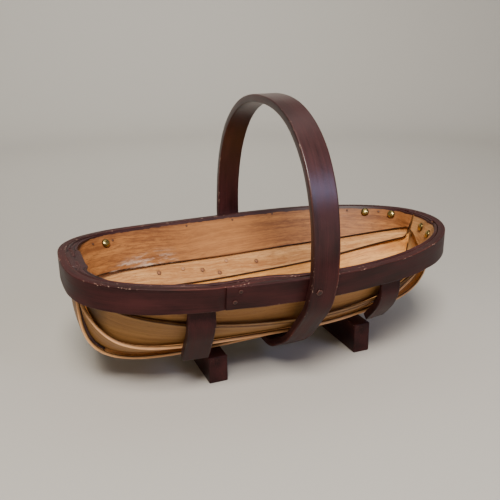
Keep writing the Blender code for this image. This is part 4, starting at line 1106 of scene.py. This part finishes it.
def chalk_smear(tree, colour, grain):
    """A whitish rubbed patch just above the seam on the far side board, towards its left end."""
    x = coordinate(tree, 0)
    down = node(tree, "SeparateXYZ", {0: grain}, 1)
    cloud = pattern(tree, grain, (22, 4, 4), 5.0, 0.75, 40.0)
    amount = held(tree, cloud, 0.47, 0.68, 0, 0.7)
    slanted = summed(tree, (x, 1), (down, 3))
    for value, low, high in ((slanted, -45, -15), (x, -80, -100), (down, 30, 46)):
        amount = held(tree, value, low * MM, high * MM, factor=amount)
    return layered(tree, colour, (amount, "#E3CDB8"))


def worn_brass():
    """Pressed brass whose lacquer has worn: warm yellow metal, browner and duller towards its edge."""
    made, tree, shader, grain, edge = material("pressed_brass", "grain", "edge")
    spots = pattern(tree, grain, (1.4, 1.4, 1.4), 3.0, 0.6)
    colour = node(tree, "ValToRGB", {0: spots}, stops=[(0.35, "#9E8B4C"), (0.65, "#CBB576")])
    colour = layered(tree, colour, (held(tree, edge, 0.72, 1.0, 0, 0.85), "#46321A"))
    shader.inputs["Metallic"].default_value = 1.0
    connect(tree, shader, colour, held(tree, spots, 0.3, 0.7, 0.2, 0.36), spots, 0.15, 0.1 * MM)
    return made


def rusted_steel(name, rim_colour, dark, pale):
    """Flat steel nail heads gone brown with rust: rough and hardly metallic, with a darker rim."""
    made, tree, shader, grain, edge = material(name, "grain", "edge")
    spots = pattern(tree, grain, (0.9, 0.9, 0.9), 3.0, 0.6)
    colour = node(tree, "ValToRGB", {0: spots}, stops=[(0.35, dark), (0.65, pale)])
    colour = layered(tree, colour, (held(tree, edge, 0.62, 0.9, 0, 0.9), rim_colour))
    shader.inputs["Metallic"].default_value = 0.2
    connect(tree, shader, colour, held(tree, spots, 0.3, 0.7, 0.5, 0.75), spots, 0.3, 0.15 * MM)
    return made


def plain_ground():
    """Matt pale studio paper."""
    made, _, shader = material("studio_paper")
    shader.inputs["Base Color"].default_value = linear("#BEBAB2")
    shader.inputs["Roughness"].default_value = 0.9
    return made


def ground():
    """The floor: a flat disc that rises gently into a wall all round, far from the trug."""
    wall = np.linspace(FLOOR_RADIUS + 0.1, WALL_RADIUS, 30)
    radius = np.concatenate([np.linspace(0.05, FLOOR_RADIUS, 24), wall])[:, None]
    angle = np.linspace(0, math.tau, GROUND_SIDES, endpoint=False)
    rise = WALL_CURL * np.maximum(radius - FLOOR_RADIUS, 0) ** 2
    height = np.broadcast_to(rise, (len(radius), GROUND_SIDES))
    rings = np.stack([radius * np.cos(angle), radius * np.sin(angle), height], -1)
    ring_mesh("ground", rings, [tuple(range(GROUND_SIDES))], plain_ground(), flipped=True)


def soft_light(name, place, target, size, power, colour):
    """A square softbox turned towards a point."""
    data = bpy.data.lights.new(name, "AREA")
    data.shape = "SQUARE"
    data.size = size
    data.energy = power
    data.color = linear(colour)[:3]
    lamp = placed(name, data)
    lamp.location = place
    away = Vector(place) - Vector(target)
    lamp.rotation_euler = away.to_track_quat("Z", "Y").to_euler()


def lights():
    """A softbox high at the left front, a wide weak one above, a small cool one at the right front and one
    on the wall behind."""
    soft_light("key", (-0.5, -1.15, 1.65), (0, 0, 0.1), 0.7, 64, "#FFF8EE")
    soft_light("overhead", (0.2, 0.3, 1.9), (0, 0, 0.1), 1.6, 5.5, "#FFFDF8")
    soft_light("right_front", (0.9, -1.85, 1.3), (0, 0, 0.2), 0.6, 11.5, "#B8CAFF")
    soft_light("backdrop", (0.3, 1.1, 1.7), (0.3, 3.0, 0.6), 1.2, 25, "#FFFDF8")
    world = bpy.data.worlds.new("studio")
    world.use_nodes = True
    sky = world.node_tree.nodes["Background"].inputs
    sky["Color"].default_value = linear("#EDEBE6")
    sky["Strength"].default_value = 0.055
    bpy.context.scene.world = world


def camera():
    """The photograph's viewpoint."""
    cos_up = math.cos(CAMERA_ELEVATION)
    back = Vector((-math.sin(CAMERA_AZIMUTH) * cos_up, -math.cos(CAMERA_AZIMUTH) * cos_up,
                   math.sin(CAMERA_ELEVATION)))
    data = bpy.data.cameras.new("photo_view")
    data.lens = LENS
    data.sensor_width = SENSOR
    data.clip_start = 0.05
    made = placed("photo_view", data)
    turn = back.to_track_quat("Z", "Y").to_matrix().to_4x4()
    made.matrix_world = (Matrix.Translation(Vector(CAMERA_TARGET) + back * CAMERA_DISTANCE) @ turn
                         @ Matrix.Rotation(CAMERA_ROLL, 4, "Z"))
    bpy.context.scene.camera = made


def wooden_pieces(rim):
    """The rim, the handle, the paint packed round the left end and the strips of painted shade in its bend,
    the boards, the ribs and the feet.
    """
    paint = painted_ash("oil_paint_on_ash")
    rim_hoop(rim, paint)
    handle_hoop(rim, painted_ash("oil_paint_on_handle", NAIL_SCUFF, polished=True))
    clogging = clogged_paint()
    end_packing(rim, clogging)
    # Strips of painted shade in the bend of the left end.
    for side in (NEAR, FAR):
        shade_strip_in_bend(rim, side, clogging)
    for side in (NEAR, FAR):
        boards = Boards(rim, side)
        for board in ("third", "second", "side"):
            finish = willow("willow_%s_%s" % (board, side), *WILLOWS[side, board])
            plank(rim, boards, board, finish, "%s_board_%s" % (board, side), STAINING.get((side, board), ()))
        for end in RIBS:
            rib(rim, boards, end, paint)
    centre_board(rim, willow("willow_centre", "#D9AC74", "#BE8B54", "#98683A", 300.0, OUTSIDE, "fresh_and_highlit_edge"))
    for end in FEET:
        foot(rim, end, paint)


def nails():
    """Each kind of nail with its finish, its lip's height, how domed it is and how dented."""
    flush = rusted_steel("rusted_flush_nails", "#3C2014", "#7A4A2E", "#A06C46"), 0.1 * MM, 0.3
    faint = rusted_steel("clean_flush_nails", "#8E5F3E", "#A8754C", "#BC8A62"), 0.1 * MM, 0.3
    worn = rusted_steel("worn_painted_nails", "#5A342A", "#1E0D0B", "#3A1D18"), 0.15 * MM, 0.6
    tacks = rusted_steel("rusted_tacks", "#2A160E", "#3E2418", "#6E4630"), 0.1 * MM, 0.6
    brass = worn_brass(), 0.25 * MM, 1.0, 0.06
    kinds = {"brass_nail": brass, "board_nail": flush, "foot_nail": flush, "tack": tacks, "lap_nail": worn,
             "handle_nail": worn}
    for name in sorted(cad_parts):
        for start, kind in kinds.items():
            if name.startswith(start):
                nail(name, *(faint if name in FAINT_NAILS else kind))


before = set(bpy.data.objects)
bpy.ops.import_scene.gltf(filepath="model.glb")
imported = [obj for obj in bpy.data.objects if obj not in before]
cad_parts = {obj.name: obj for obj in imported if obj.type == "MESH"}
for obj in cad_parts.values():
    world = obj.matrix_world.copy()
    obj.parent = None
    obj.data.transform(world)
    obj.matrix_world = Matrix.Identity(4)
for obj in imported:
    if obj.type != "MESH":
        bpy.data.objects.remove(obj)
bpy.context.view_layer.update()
camera()
lights()
ground()
rim = Rim()
wooden_pieces(rim)
nails()
